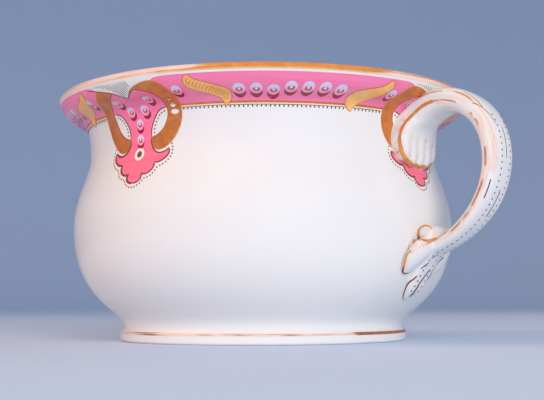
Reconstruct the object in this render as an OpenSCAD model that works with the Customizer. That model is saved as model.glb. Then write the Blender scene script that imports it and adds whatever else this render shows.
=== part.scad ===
// Chamber pot in glazed earthenware: a jollied bowl on a luted foot ring, with one pressed strap handle.
// The handle starts in a fluted leaf under the rim.
// It ends in a three-lobed leaf with a rolled scroll on the belly.
// Millimetres. The pot's axis is Z, the foot stands on Z = 0 and the handle is on the +X side.

/* [Bowl] */
// Diameter over the lip
rim_d = 230; // [215:1:250]
// Height from the table to the top of the lip
height = 134.5; // [128:0.5:150]
// Greatest diameter of the belly
belly_d = 212.6; // [204:0.2:224]
// Height of the belly's greatest diameter
belly_z = 62; // [54:0.5:68]
// Least diameter of the neck
neck_d = 194.8; // [184:0.2:202]
// Height of the neck's least diameter
neck_z = 101.5; // [94:0.5:106]
// Thickness of the wall and of the round lip
wall = 5; // [4:0.1:6]
// Thickness of the floor
floor_t = 6; // [4:0.1:9]
// Height over which the floor rounds into the wall
floor_round = 4.5; // [2:0.5:8]
// Slope of the rim where it runs into the lip, in degrees from level
rim_slope = 65; // [58:1:74]

/* [Foot] */
// Greatest diameter of the foot ring
foot_d = 160.2; // [150:0.2:168]
// Diameter of the waist where the foot ring meets the bowl
waist_d = 156.6; // [148:0.2:160]
// Height of the foot ring
foot_h = 8.2; // [6:0.1:11]
// Height up to which the foot ring keeps its greatest diameter
foot_bulge_z = 5; // [3:0.1:5.5]
// Width of the foot ring's resting face
foot_ring_w = 9; // [6:0.2:14]
// Radius of the foot ring's lower outer edge
foot_edge = 1.6; // [0.8:0.1:2.5]
// How much wider the foot ring is on the inside at the bowl than at the table
foot_taper = 1.5; // [0:0.1:3]

/* [Handle strap] */
// Width of the strap at its root under the rim
root_w = 26; // [22:0.2:30]
// Width of the strap along the arch
strap_w = 22.4; // [18:0.2:26]
// Width of the strap at the belly and along its tail
tail_w = 18; // [14:0.2:20]
// Thickness of the strap at its root
strap_t_root = 13.6; // [10:0.2:16]
// Thickness of the strap at the belly
strap_t_belly = 6.6; // [5:0.2:9]
// How far the strap's middle line stands out past the lip
strap_reach = 30.3; // [26:0.1:38]
// Depth of the strap's furthest point under the top of the lip
strap_far_drop = 41.8; // [38:0.2:48]
// Depth of the strap's root under the top of the lip
root_drop = 16.5; // [15:0.1:19]
// Gap from the neck's least radius to the middle of the strap's root
root_gap = 8.6; // [7.5:0.1:10]
// Depth of the strap's landing under the belly's greatest diameter
landing_drop = 13; // [9:0.5:17]
// Gap from the belly to the strap's middle line at the landing
landing_gap = 7.9; // [6:0.1:10]
// Height of the tail, from the landing to its tip
tail_len = 26.5; // [20:0.5:30]

/* [Upper leaf] */
// Height of the leaf, from its tip to the strap's root
leaf_len = 29; // [24:0.5:34]
// Width of the leaf at its broadest
leaf_w = 36.5; // [30:0.5:40]
// Depth of the leaf's broadest place under the strap's root
leaf_wide_drop = 14.5; // [10:0.5:17]
// How far the leaf stands off the neck
leaf_relief = 4.2; // [3:0.1:6]
// Depth of the flutes between the leaf's ribs
flute_depth = 1.3; // [0.6:0.1:2]

/* [Lower leaves and scroll] */
// Diameter of the rolled scroll over the landing
scroll_d = 8.6; // [7:0.2:10]
// Length of the rolled scroll
scroll_len = 22; // [18:0.2:26]
// Height of the scroll's middle above the landing
scroll_rise = 6.6; // [5.5:0.1:7.5]
// How far each lower leaf reaches from the handle's middle plane
lobe_out = 20; // [17:0.2:23]
// Width of each lower leaf
lobe_w = 13; // [10:0.2:15]
// Depth of the lower leaves' ends under the landing
lobe_len = 14; // [11:0.2:17]
// Thickness of the lower leaves
lobe_t = 6.4; // [5:0.1:8]
// Greatest thickness of the small bud over each lower leaf
bud_d = 4.4; // [3.4:0.1:5.4]
// Length of the small bud
bud_len = 7.5; // [6:0.1:9]

/* [Hidden] */
glaze_colour = "#f4f2ee";
round_fn = 180;
small_round_fn = 48;

rim_r = rim_d / 2;
belly_r = belly_d / 2;
neck_r = neck_d / 2;
waist_r = waist_d / 2;
foot_r = foot_d / 2;
lip_r = wall / 2;
lip_mid = [rim_r - lip_r, height - lip_r];
floor_z = foot_h + floor_t;

// Small helpers for curves and lists
function heading(a) = [cos(a), sin(a)];
function unit(v) = v / norm(v);
function mix(a, b, s) = a + (b - a) * s;
function ease(s) = let (c = min(max(s, 0), 1)) c * c * (3 - 2 * c);
function signed_pow(x, e) = sign(x) * pow(abs(x), e);
function rest_of(list) = [for (i = [1 : len(list) - 1]) list[i]];
function reversed(list) = [for (i = [len(list) - 1 : -1 : 0]) list[i]];
function cubic(p, u) =
    pow(1 - u, 3) * p[0] + 3 * pow(1 - u, 2) * u * p[1] + 3 * (1 - u) * u * u * p[2] + pow(u, 3) * p[3];
function cubic_points(p, n) = [for (i = [0 : n]) cubic(p, i / n)];
function cubic_dir(p, u) = unit(cubic(p, min(u + 0.01, 1)) - cubic(p, max(u - 0.01, 0)));

// Shares of each outline curve's rise that its two end tangents take
waist_pull = 0.165;
belly_low_pull = 0.74;
belly_high_pull = 0.445;
neck_low_pull = 0.27;
neck_high_pull = 1;
lip_pull = 0.6;
curve_steps = 22;

// Outer outline from the waist over belly and neck to the lip, as radius and height
lip_start = lip_mid + lip_r * [sin(rim_slope), -cos(rim_slope)];
belly_rise = belly_z - foot_h;
neck_rise = neck_z - belly_z;
rim_rise = lip_start[1] - neck_z;
belly_curve = [[waist_r, foot_h], [waist_r, foot_h + waist_pull * belly_rise],
               [belly_r, belly_z - belly_low_pull * belly_rise], [belly_r, belly_z]];
neck_curve = [[belly_r, belly_z], [belly_r, belly_z + belly_high_pull * neck_rise],
              [neck_r, neck_z - neck_low_pull * neck_rise], [neck_r, neck_z]];
rim_curve = [[neck_r, neck_z], [neck_r, neck_z + neck_high_pull * rim_rise],
             lip_start - lip_pull * rim_rise * heading(rim_slope), lip_start];
outer = concat(cubic_points(belly_curve, curve_steps), rest_of(cubic_points(neck_curve, curve_steps)),
               rest_of(cubic_points(rim_curve, curve_steps)));

// Inner outline: the outer one moved in by the wall, down to where the floor's round corner starts
function outline_normal(i) =
    let (d = unit(outer[min(i + 1, len(outer) - 1)] - outer[max(i - 1, 0)])) [d[1], -d[0]];
wall_points = [for (i = [0 : len(outer) - 1]) outer[i] - wall * outline_normal(i)];
inner = [for (p = wall_points) if (p[1] > floor_z + floor_round) p];
corner_end = inner[0];
corner_dir = unit(inner[1] - inner[0]);
corner_mid = corner_end - corner_dir * (corner_end[1] - floor_z) / corner_dir[1];
corner_start = corner_mid - [norm(corner_end - corner_mid), 0];
corner_curve = [corner_start, mix(corner_start, corner_mid, 2 / 3),
                mix(corner_end, corner_mid, 2 / 3), corner_end];
corner_steps = 6;

// Places on the pot's side: the radius at a height, and a point that stands off the side
// at a distance y from the handle's middle plane
function outer_r(z) = lookup(z, [for (p = outer) [p[1], p[0]]]);
function side_normal(z) = unit([1, outer_r(z - 0.5) - outer_r(z + 0.5)]);
function on_side(y, z, off) =
    let (r = outer_r(z), a = asin(y / r), p = [r, z] + off * side_normal(z))
    [p[0] * cos(a), p[0] * sin(a), p[1]];
function on_side_normal(y, z) = unit(on_side(y, z, 1) - on_side(y, z, 0));

// Middle line of the strap in the handle's plane: over the arch, down to the landing and along the tail
root = [neck_r + root_gap, height - root_drop];
far = [rim_r + strap_reach, height - strap_far_drop];
landing_z = belly_z - landing_drop;
landing = [outer_r(landing_z) + landing_gap, landing_z];
tail_tip_z = landing_z - tail_len;
tail_sit = 0.4;
tail_tip = [outer_r(tail_tip_z) + tail_sit, tail_tip_z];
root_angle = 38;
landing_angle = 23.5;
tail_angle = 45;
root_pull = 21;
far_high_pull = 24.3;
far_low_pull = 15.4;
landing_pull = 26;
tail_high_pull = 10;
tail_low_pull = 12;
arch_curve = [root, root + root_pull * heading(root_angle), far + [0, far_high_pull], far];
drop_curve = [far, far - [0, far_low_pull], landing + landing_pull * heading(landing_angle), landing];
tail_curve = [landing, landing - tail_high_pull * heading(landing_angle),
              tail_tip + tail_low_pull * heading(tail_angle), tail_tip];
arch_steps = 16;
drop_steps = 14;
tail_steps = 12;
// The strap narrows from its root over this share of the arch
root_share = 0.45;
// It keeps its width over this share of the drop, and its tail over this share of the tail
drop_share = 0.4;
tail_share = 0.35;
// The tail thins to this share of its thickness over its last quarter, and its tip is this share of its width
tail_thin = 0.35;
tail_thin_from = 0.75;
tail_tip_share = 0.14;

// Half width and half thickness along the three stretches
strap_t_far = (strap_t_root + strap_t_belly) / 2;
function arch_half_w(u) = mix(root_w, strap_w, ease(u / root_share)) / 2;
function drop_half_w(u) = mix(strap_w, tail_w, ease((u - drop_share) / (1 - drop_share))) / 2;
function tail_half_w(u) =
    let (s = max(u - tail_share, 0) / (1 - tail_share)) tail_w / 2 * max(sqrt(1 - s * s), tail_tip_share);
function arch_half_t(u) = mix(strap_t_root, strap_t_far, u) / 2;
function drop_half_t(u) = mix(strap_t_far, strap_t_belly, u) / 2;
function tail_half_t(u) =
    mix(strap_t_belly, strap_t_belly * tail_thin, ease((u - tail_thin_from) / (1 - tail_thin_from))) / 2;

// Ring of the strap's section, a rounded oblong, square to its middle line
section_steps = 24;
section_power = 3;
function oblong(s) = pow(max(1 - pow(abs(s), section_power), 0), 1 / section_power);
function strap_ring(p, u, half_w, half_t) =
    let (c = cubic(p, u), d = cubic_dir(p, u), n = [-d[1], d[0]])
    [for (k = [0 : section_steps - 1])
        let (a = 360 * k / section_steps,
             q = c + half_t * signed_pow(cos(a), 2 / section_power) * n)
        [q[0], half_w * signed_pow(sin(a), 2 / section_power), q[1]]];
function shares(n) = [for (i = [0 : n - 1]) i / n];
strap_rings = concat(
    [for (u = shares(arch_steps)) strap_ring(arch_curve, u, arch_half_w(u), arch_half_t(u))],
    [for (u = shares(drop_steps)) strap_ring(drop_curve, u, drop_half_w(u), drop_half_t(u))],
    [for (u = concat(shares(tail_steps), 1)) strap_ring(tail_curve, u, tail_half_w(u), tail_half_t(u))]);

// Climb of the upper leaf up the neck to the strap's root, and the places of its ribs and edges
leaf_steps = 14;
leaf_across = 30;
leaf_flutes = 5;
// Depth of the notches between the ribs' ends, as a share of the leaf's lower part
leaf_scallop = 0.08;
// Depth of the leaf's back under the middle of its climb, well inside the neck
leaf_sink = 7;
// Share of the climb from which the leaf turns into the strap, and over which its flutes run out
leaf_turn_from = 0.45;
flute_run = 0.7;
// Share of each rib's length over which its tip rounds off
rib_tip = 0.33;
leaf_tip_z = root[1] - leaf_len;
leaf_pull = 11;
leaf_climb = [[outer_r(leaf_tip_z), leaf_tip_z], [outer_r(leaf_tip_z), leaf_tip_z + leaf_pull],
              root - leaf_pull * heading(root_angle), root];
leaf_wide_s = (leaf_len - leaf_wide_drop) / leaf_len;
function leaf_rib(s) = abs(cos(s * 90 * leaf_flutes));
function leaf_edge_s(s) = leaf_wide_s * (1 - oblong(s) * mix(1, leaf_rib(s), leaf_scallop));
function leaf_half_w(u) = mix(leaf_w, root_w, ease((u - leaf_wide_s) / (1 - leaf_wide_s))) / 2;
function leaf_turn(u) = ease((u - leaf_turn_from) / (1 - leaf_turn_from));
// Height of the leaf's face over its climb: ribs at the tips, which fade into the strap's inner face
function leaf_face(s, u, v) =
    let (ribs = leaf_relief - flute_depth * (1 - leaf_rib(s)) * (1 - ease(u / flute_run)),
         tip = pow(1 - pow(1 - min(v / rib_tip, 1), 3), 0.6),
         edge = pow(max(1 - pow(abs(s), 6), 0), 1 / section_power))
    mix(ribs * edge * tip, arch_half_t(0) * oblong(s), leaf_turn(u));
function leaf_back(s, u) = mix(-leaf_sink, -arch_half_t(0) * oblong(s), leaf_turn(u));
function leaf_point(s, u, off) =
    let (d = cubic_dir(leaf_climb, u), q = cubic(leaf_climb, u) + off * [d[1], -d[0]])
    [q[0], s * leaf_half_w(u), q[1]];
function leaf_ring(v) =
    let (across = [for (i = [0 : leaf_across]) sin(90 * (2 * i / leaf_across - 1))],
         back = reversed(across))
    concat([for (s = across) let (u = mix(leaf_edge_s(s), 1, v)) leaf_point(s, u, leaf_face(s, u, v))],
           [for (s = back) let (u = mix(leaf_edge_s(s), 1, v)) leaf_point(s, u, leaf_back(s, u))]);

// Middle of the scroll, which touches both belly and strap
scroll_r = scroll_d / 2;
scroll_bite = 0.2;
scroll_z = landing_z + scroll_rise;
scroll_mid = [outer_r(scroll_z) + scroll_r - scroll_bite, 0, scroll_z];

// Middle line of each lower leaf from under the strap down the belly,
// as distance from the middle plane, height and stand-off
lobe_mid = lobe_out - lobe_w / 2;
lobe_bow = 2;
lobe_root_rise = 4;
lobe_offs = [landing_gap, 5, 1, 0.2];
lobe_curve = [[tail_w / 3, landing_z + lobe_root_rise, lobe_offs[0]],
              [lobe_mid - lobe_bow / 2, landing_z + lobe_root_rise / 4, lobe_offs[1]],
              [lobe_mid + lobe_bow, landing_z - lobe_len / 2, lobe_offs[2]],
              [lobe_mid, landing_z - lobe_len, lobe_offs[3]]];
lobe_steps = 12;
lobe_sides = 16;
// Half width of the leaf along its length, narrow at its root and round at its end
function lobe_share(u) = pow(sin(180 * mix(0.1, 0.97, pow(u, 1.15))), 0.6);
function lobe_centre(side, u) = let (p = cubic(lobe_curve, u)) on_side(side * p[0], p[1], p[2]);
function lobe_ring(side, u) =
    let (p = cubic(lobe_curve, u), n = on_side_normal(side * p[0], p[1]), c = lobe_centre(side, u),
         d = unit(lobe_centre(side, min(u + 0.02, 1)) - lobe_centre(side, max(u - 0.02, 0))),
         w = unit(cross(n, d)), up = cross(d, w), share = lobe_share(u))
    [for (k = [0 : lobe_sides - 1])
        let (a = 360 * k / lobe_sides) c + share * (lobe_w / 2 * sin(a) * w + lobe_t / 2 * cos(a) * up)];

// Solid through a row of closed rings, with an end that is a strip between the two halves of its ring
module ring_solid(rings) {
    n = len(rings[0]);
    last = (len(rings) - 1) * n;
    sides = [for (i = [0 : len(rings) - 2], j = [0 : n - 1])
        let (a = i * n + j, b = i * n + (j + 1) % n, c = a + n, d = b + n)
        each [[a, b, d], [a, d, c]]];
    ends = [for (k = [0 : n / 2 - 2])
        let (a = k, b = k + 1, c = n - 2 - k, d = n - 1 - k)
        each [[a, c, b], [a, d, c], [last + a, last + b, last + c], [last + a, last + c, last + d]]];
    polyhedron(points = [for (ring = rings) each ring], faces = concat(sides, ends), convexity = 8);
}

// Whole masses of clay, which also cut the seats of the pieces luted to them
module bowl_mass() {
    rotate_extrude($fn = round_fn)
        polygon(concat([[0, foot_h]], outer, [[lip_mid[0], lip_start[1]], [0, lip_start[1]]]));
}
module strap_mass() ring_solid(strap_rings);
module scroll_mass() {
    end_round = 1.2;
    half = scroll_len / 2;
    end_arc = [for (a = [0 : 15 : 90]) [scroll_r - end_round, half - end_round] + end_round * heading(a)];
    translate(scroll_mid) rotate([90, 0, 0]) rotate_extrude($fn = small_round_fn)
        polygon(concat([[0, -half]], [for (p = reversed(end_arc)) [p[0], -p[1]]], end_arc, [[0, half]]));
}
module lobe_mass(side) ring_solid([for (u = concat(shares(lobe_steps), 1)) lobe_ring(side, u)]);
module bud_mass(side) {
    drop = [[0, 0], [bud_d * 0.7, 0], [bud_d * 0.6, bud_len / 2], [0, bud_len]];
    drop_steps = 10;
    low_end = on_side(side * (lobe_mid + lobe_bow), landing_z - bud_len / 5, bud_d / 4);
    high_end = on_side(side * lobe_mid, landing_z + bud_len * 0.6, bud_d / 4);
    d = unit(high_end - low_end);
    translate(low_end) rotate([0, acos(d[2]), atan2(d[1], d[0])]) rotate_extrude($fn = small_round_fn)
        polygon(cubic_points(drop, drop_steps));
}

module bowl() {
    lip_step = 10;
    lip_from = rim_slope - 90;
    lip_arc = [for (a = [lip_step : lip_step : 180 - lip_step]) lip_mid + lip_r * heading(lip_from + a)];
    corner = cubic_points(corner_curve, corner_steps);
    color(glaze_colour) rotate_extrude($fn = round_fn)
        polygon(concat([[0, foot_h]], outer, lip_arc, reversed(inner), rest_of(reversed(corner)),
                       [[0, floor_z]]));
}

// The foot ring's outer face draws in to the waist and rounds under at the table
module foot_ring() {
    draw_in = foot_h - foot_bulge_z;
    draw_in_curve = [[foot_r, foot_bulge_z], [foot_r, foot_bulge_z + draw_in / 2],
                     [waist_r, foot_h - draw_in / 3], [waist_r, foot_h]];
    draw_in_steps = 6;
    edge_arc = [for (a = [-90 : 15 : 0]) [foot_r - foot_edge, foot_edge] + foot_edge * heading(a)];
    inner_r = foot_r - foot_edge - foot_ring_w;
    color(glaze_colour) rotate_extrude($fn = round_fn)
        polygon(concat(edge_arc, cubic_points(draw_in_curve, draw_in_steps),
                       [[inner_r - foot_taper, foot_h], [inner_r, 0]]));
}

module handle_strap() {
    color(glaze_colour) difference() {
        strap_mass();
        bowl_mass();
    }
}

module upper_leaf() {
    color(glaze_colour) difference() {
        ring_solid([for (v = concat(shares(leaf_steps), 1)) leaf_ring(v)]);
        bowl_mass();
    }
}

// The strap's inner layer rolls up into a scroll between strap and belly
module scroll() {
    color(glaze_colour) difference() {
        scroll_mass();
        strap_mass();
        bowl_mass();
    }
}

module lower_leaf(side) {
    color(glaze_colour) difference() {
        lobe_mass(side);
        strap_mass();
        scroll_mass();
        bowl_mass();
    }
}
module lower_leaf_left() lower_leaf(-1);
module lower_leaf_right() lower_leaf(1);

// A small drop-shaped bud fills the angle between scroll and lower leaf
module bud(side) {
    color(glaze_colour) difference() {
        bud_mass(side);
        lobe_mass(side);
        strap_mass();
        scroll_mass();
        bowl_mass();
    }
}
module bud_left() bud(-1);
module bud_right() bud(1);

bowl();
foot_ring();
handle_strap();
upper_leaf();
scroll();
lower_leaf_left();
lower_leaf_right();
bud_left();
bud_right();
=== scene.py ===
# %% [markdown]
# # A rose-banded chamber pot
#
# This lesson dresses a chamber pot of glazed earthenware: a round-bellied bowl on a foot ring, with
# one strap handle that starts and ends in a leaf. A rose enamel band with gilt straps and printed
# studs runs under the lip. The clay is rebuilt here with finer meshes from the same few curves as
# the solid model. The decoration is drawn flat, in millimetres, and then laid on the clay as thin
# films, as a transfer print is.

# %% Tools and the solid frame
import math
import bpy
import numpy as np
from mathutils import Matrix, Vector
from mathutils.bvhtree import BVHTree
from mathutils.geometry import delaunay_2d_cdt
from mathutils.kdtree import KDTree


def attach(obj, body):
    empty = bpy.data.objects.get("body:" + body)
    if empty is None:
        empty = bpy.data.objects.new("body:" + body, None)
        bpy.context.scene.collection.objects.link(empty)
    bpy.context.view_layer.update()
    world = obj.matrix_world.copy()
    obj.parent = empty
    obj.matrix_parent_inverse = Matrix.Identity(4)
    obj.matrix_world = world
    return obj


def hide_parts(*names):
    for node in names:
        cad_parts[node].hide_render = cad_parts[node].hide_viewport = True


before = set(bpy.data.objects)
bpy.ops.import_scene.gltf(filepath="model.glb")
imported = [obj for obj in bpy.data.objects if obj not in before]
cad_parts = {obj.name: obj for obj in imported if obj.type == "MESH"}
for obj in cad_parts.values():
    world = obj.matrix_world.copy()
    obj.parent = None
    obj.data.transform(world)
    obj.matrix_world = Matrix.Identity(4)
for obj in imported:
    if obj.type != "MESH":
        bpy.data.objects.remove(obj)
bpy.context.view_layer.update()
MM = 0.001
print("solid nodes:", ", ".join(sorted(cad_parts)))

# %% [markdown]
# ## Colours and nodes
#
# Colours are written as sRGB hex values, as a paint chart gives them, and Blender's shaders work in
# linear light, so one function converts them. One more function adds a shader node: it takes the
# node's inputs and settings, and an input that comes from another node's output is linked. The same
# nodes could be set up by hand in the shader editor, but here each finish can be read, and made
# again, from top to bottom.

# %% Colour and node helpers
def linear(hex_colour):
    values = [int(hex_colour[i:i + 2], 16) / 255 for i in (1, 3, 5)]
    return [v / 12.92 if v <= 0.04045 else ((v + 0.055) / 1.055) ** 2.4 for v in values] + [1.0]


def add_node(tree, kind, inputs=None, **settings):
    node = tree.nodes.new("ShaderNode" + kind)
    for name, value in settings.items():
        setattr(node, name, value)
    for name, value in (inputs or {}).items():
        if isinstance(value, bpy.types.NodeSocket):
            tree.links.new(value, node.inputs[name])
        else:
            node.inputs[name].default_value = value
    return node


def new_material(name):
    """A material with its node tree, its shader and the place on the object, in metres."""
    material = bpy.data.materials.new(name)
    material.use_nodes = True
    tree = material.node_tree
    place = add_node(tree, "TexCoord").outputs["Object"]
    return material, tree, tree.nodes["Principled BSDF"], place


print("white in linear light:", [round(v, 3) for v in linear("#f4f2ee")])

# %% [markdown]
# ## The glaze
#
# The body is white earthenware under a clear lead glaze. Lead glazes bend light more than window
# glass does, so the index is about 1.6, and the surface is very smooth. The firing leaves long soft
# waves in it, a slightly warmer cast where the glaze lies thick, and a few dark specks of kiln dust.
# The waves are a bump of about 25 mm, the cast has patches of about 60 mm, and the specks are under 1
# mm wide and about 16 mm apart. One glossy white would do from far off, but these small faults tell
# the eye that it sees fired glaze and not plastic.
#
# On the handle, gold that hands rubbed away has left a peach stain near its lines, with some brown
# scratches. The mesh says how near, in an attribute called rubbed. A second attribute called
# lengthways gives places measured along and across the strap, so that the noise which breaks up the
# stain runs in streaks along it. A painted picture could hold the stain too, but attributes need no
# unwrapped handle.

# %% Clear lead glaze on white earthenware
def lead_glaze(name, stained):
    material, tree, shader, place = new_material(name)
    cast = add_node(tree, "TexNoise", {"Vector": place, "Scale": 1 / (60 * MM), "Detail": 3.0})
    body_colour = add_node(tree, "Mix", {
        0: cast.outputs["Fac"], 6: linear("#eeeeed"), 7: linear("#ebe9e5")}, data_type="RGBA")
    speck = add_node(tree, "TexVoronoi", {"Vector": place, "Scale": 1 / (16 * MM)})
    speck_mask = add_node(tree, "MapRange", {
        "Value": speck.outputs["Distance"], "From Min": 0.012, "From Max": 0.024,
        "To Min": 0.35, "To Max": 0.0})
    colour = add_node(tree, "Mix", {
        0: speck_mask.outputs["Result"], 6: body_colour.outputs[2],
        7: linear("#8a7866")}, data_type="RGBA")
    if stained:
        rubbed = add_node(tree, "Attribute", attribute_name="rubbed")
        lengthways = add_node(tree, "Attribute", attribute_name="lengthways")
        streak = add_node(tree, "TexNoise", {
            "Vector": lengthways.outputs["Vector"], "Scale": 1.0, "Detail": 4.0})
        for hex_colour, streak_from, streak_to in (("#f3c9b0", 0.38, 0.6), ("#b87452", 0.64, 0.7)):
            mask = add_node(tree, "MapRange", {
                "Value": streak.outputs["Fac"], "From Min": streak_from, "From Max": streak_to})
            stain = add_node(tree, "Math", {
                0: rubbed.outputs["Fac"], 1: mask.outputs["Result"]}, operation="MULTIPLY")
            colour = add_node(tree, "Mix", {
                0: stain.outputs[0], 6: colour.outputs[2], 7: linear(hex_colour)}, data_type="RGBA")
    wave = add_node(tree, "TexNoise", {"Vector": place, "Scale": 1 / (25 * MM), "Detail": 1.0})
    wave_bump = add_node(tree, "Bump", {
        "Height": wave.outputs["Fac"], "Strength": 0.05, "Distance": 2 * MM})
    rough = add_node(tree, "MapRange", {
        "Value": cast.outputs["Fac"], "From Min": 0.3, "From Max": 0.7,
        "To Min": 0.07, "To Max": 0.13})
    tree.links.new(colour.outputs[2], shader.inputs["Base Color"])
    tree.links.new(rough.outputs["Result"], shader.inputs["Roughness"])
    tree.links.new(wave_bump.outputs["Normal"], shader.inputs["Normal"])
    shader.inputs["IOR"].default_value = 1.6
    print("made", name)
    return material


glaze = lead_glaze("clear_lead_glaze_on_white_earthenware", False)
handle_glaze = lead_glaze("lead_glaze_stained_by_rubbed_gold", True)

# %% [markdown]
# ## Rose enamel
#
# The rose colour is a soft overglaze enamel, brushed on in one wash and fired at a low heat. It is
# glossy, a little rougher than the glaze, and the brush leaves streaks along the band, so the noise is
# drawn out sideways: about 30 mm long and 2 mm high. It could be one flat colour, but the streaks tell
# the eye that a hand laid it on. The band is painted a bluer rose than the pendants under it. That bluer
# rose is a painted blue cast of the light from below, so the colour changes with the height.

# %% Rose overglaze enamel
BAND_FOOT, PENDANT_MIDDLE = 116 * MM, 96 * MM


def rose_enamel(name):
    material, tree, shader, place = new_material(name)
    stretched = add_node(tree, "Mapping", {
        "Vector": place, "Scale": (1 / (30 * MM), 1 / (30 * MM), 1 / (2 * MM))})
    streak = add_node(tree, "TexNoise", {
        "Vector": stretched.outputs["Vector"], "Scale": 1.0, "Detail": 4.0})
    split = add_node(tree, "SeparateXYZ", {"Vector": place})
    out_of_painted_blue_cast = add_node(tree, "MapRange", {
        "Value": split.outputs["Z"], "From Min": BAND_FOOT, "From Max": PENDANT_MIDDLE})
    # The band's bluer rose is a painted blue cast of light from below, and the pendants get the warmer
    # rose.
    coat = add_node(tree, "Mix", {
        0: out_of_painted_blue_cast.outputs["Result"], 6: linear("#fd7aa8"),
        7: linear("#fd6e8a")}, data_type="RGBA")
    thin_coat = add_node(tree, "Mix", {
        0: out_of_painted_blue_cast.outputs["Result"], 6: linear("#fd98bc"),
        7: linear("#ff8ca2")}, data_type="RGBA")
    streak_mask = add_node(tree, "MapRange", {
        "Value": streak.outputs["Fac"], "From Min": 0.42, "From Max": 0.78,
        "To Min": 0.1, "To Max": 0.6})
    brushed = add_node(tree, "Mix", {
        0: streak_mask.outputs["Result"], 6: coat.outputs[2],
        7: thin_coat.outputs[2]}, data_type="RGBA")
    rough = add_node(tree, "MapRange", {
        "Value": streak.outputs["Fac"], "From Min": 0.3, "From Max": 0.8,
        "To Min": 0.14, "To Max": 0.26})
    tree.links.new(brushed.outputs[2], shader.inputs["Base Color"])
    tree.links.new(rough.outputs["Result"], shader.inputs["Roughness"])
    shader.inputs["IOR"].default_value = 1.55
    print("made", name)
    return material


rose = rose_enamel("rose_overglaze_enamel_with_painted_blue_cast")

# %% [markdown]
# ## Gilding
#
# The straps and ribbons are gilt with a thin brown gold that is fired on and then rubbed with a
# burnisher. It is a thin metal film that lets the brown under it show, in patches of about 6 mm where
# the brush laid it thick or thin. A pure metal would mirror too much for so thin a film, so it is
# given less than half of the weight of a metal.
#
# On the lip, the foot and the handle, hands have worn it off, and a peach stain is left in the glaze
# there. One mask tells gold from stain and drives colour, metal and roughness together. On lip and foot
# it is drawn out in level scratches, as a turned pot wears, and a side of each has kept its gold.
# Towards its lower edge the lip's gold turns pale yellow, a painted highlight where light would shine on
# the round lip.

# %% Brown gilding, sound and worn
PAINTED_HIGHLIGHT_GOLD = "#ffe0a2"


def gilding(name, deep, light, worn, wear_mm, worn_from, metal_share, kept=None, highlight_mm=None):
    """Gold that wears in patches of a given length and height, from a value of the noise upwards.

    kept is three angles in degrees: the side where the gold is sound, how far it is sound on either
    hand, and from where it is worn. Between the two heights of highlight_mm the gold turns into a pale
    painted highlight.
    """
    material, tree, shader, place = new_material(name)
    brush = add_node(tree, "TexNoise", {
        "Vector": place, "Scale": 1 / (6 * MM), "Detail": 8.0, "Roughness": 0.74})
    brush_mask = add_node(tree, "MapRange", {
        "Value": brush.outputs["Fac"], "From Min": 0.35, "From Max": 0.7})
    gold = add_node(tree, "Mix", {
        0: brush_mask.outputs["Result"], 6: linear(deep), 7: linear(light)}, data_type="RGBA")
    if highlight_mm:
        # Painted highlight: between these heights the gold turns pale yellow, as where light shines on
        # the round lip.
        split = add_node(tree, "SeparateXYZ", {"Vector": place})
        thin = add_node(tree, "MapRange", {
            "Value": split.outputs["Z"], "From Min": highlight_mm[0] * MM, "From Max": highlight_mm[1] * MM})
        gold = add_node(tree, "Mix", {
            0: thin.outputs["Result"], 6: gold.outputs[2], 7: linear(PAINTED_HIGHLIGHT_GOLD)}, data_type="RGBA")
    length, height = [size * MM for size in wear_mm]
    drawn_out = add_node(tree, "Mapping", {
        "Vector": place, "Scale": (1 / length, 1 / length, 1 / height)})
    wear = add_node(tree, "TexNoise", {
        "Vector": drawn_out.outputs["Vector"], "Scale": 1.0, "Detail": 6.0, "Roughness": 0.65})
    worn_value = wear.outputs["Fac"]
    if kept:
        side, sound_to, worn_by = np.radians(kept)
        level = add_node(tree, "VectorMath", {0: place, 1: (1, 1, 0)}, operation="MULTIPLY")
        facing = add_node(tree, "VectorMath", {0: level.outputs["Vector"]}, operation="NORMALIZE")
        toward = add_node(tree, "VectorMath", {
            0: facing.outputs["Vector"],
            1: (math.cos(side), math.sin(side), 0)}, operation="DOT_PRODUCT")
        handled = add_node(tree, "MapRange", {
            "Value": toward.outputs["Value"], "From Min": math.cos(worn_by),
            "From Max": math.cos(sound_to), "To Min": 0.1, "To Max": -0.2})
        worn_value = add_node(tree, "Math", {
            0: wear.outputs["Fac"], 1: handled.outputs["Result"]}, operation="ADD").outputs[0]
    wear_mask = add_node(tree, "MapRange", {
        "Value": worn_value, "From Min": worn_from, "From Max": worn_from + 0.08})
    colour = add_node(tree, "Mix", {
        0: wear_mask.outputs["Result"], 6: gold.outputs[2], 7: linear(worn)}, data_type="RGBA")
    metal = add_node(tree, "MapRange", {
        "Value": wear_mask.outputs["Result"], "To Min": metal_share, "To Max": 0.0})
    rough = add_node(tree, "MapRange", {
        "Value": wear_mask.outputs["Result"], "To Min": 0.36, "To Max": 0.16})
    tree.links.new(colour.outputs[2], shader.inputs["Base Color"])
    tree.links.new(metal.outputs["Result"], shader.inputs["Metallic"])
    tree.links.new(rough.outputs["Result"], shader.inputs["Roughness"])
    print("made", name)
    return material


# The pale gold at the lip's lower edge is a painted highlight.
print("gold thins out to", PAINTED_HIGHLIGHT_GOLD)

# %% [markdown]
# Six gildings come from this one function. The straps' is dark and sound, the ribbons' is lighter,
# and the rims' is thin. The lip, the handle's edges and the foot have worn ones. They could share one
# material with a mask for each place, but a finish with a name of its own is easier to find and to
# change.

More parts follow.
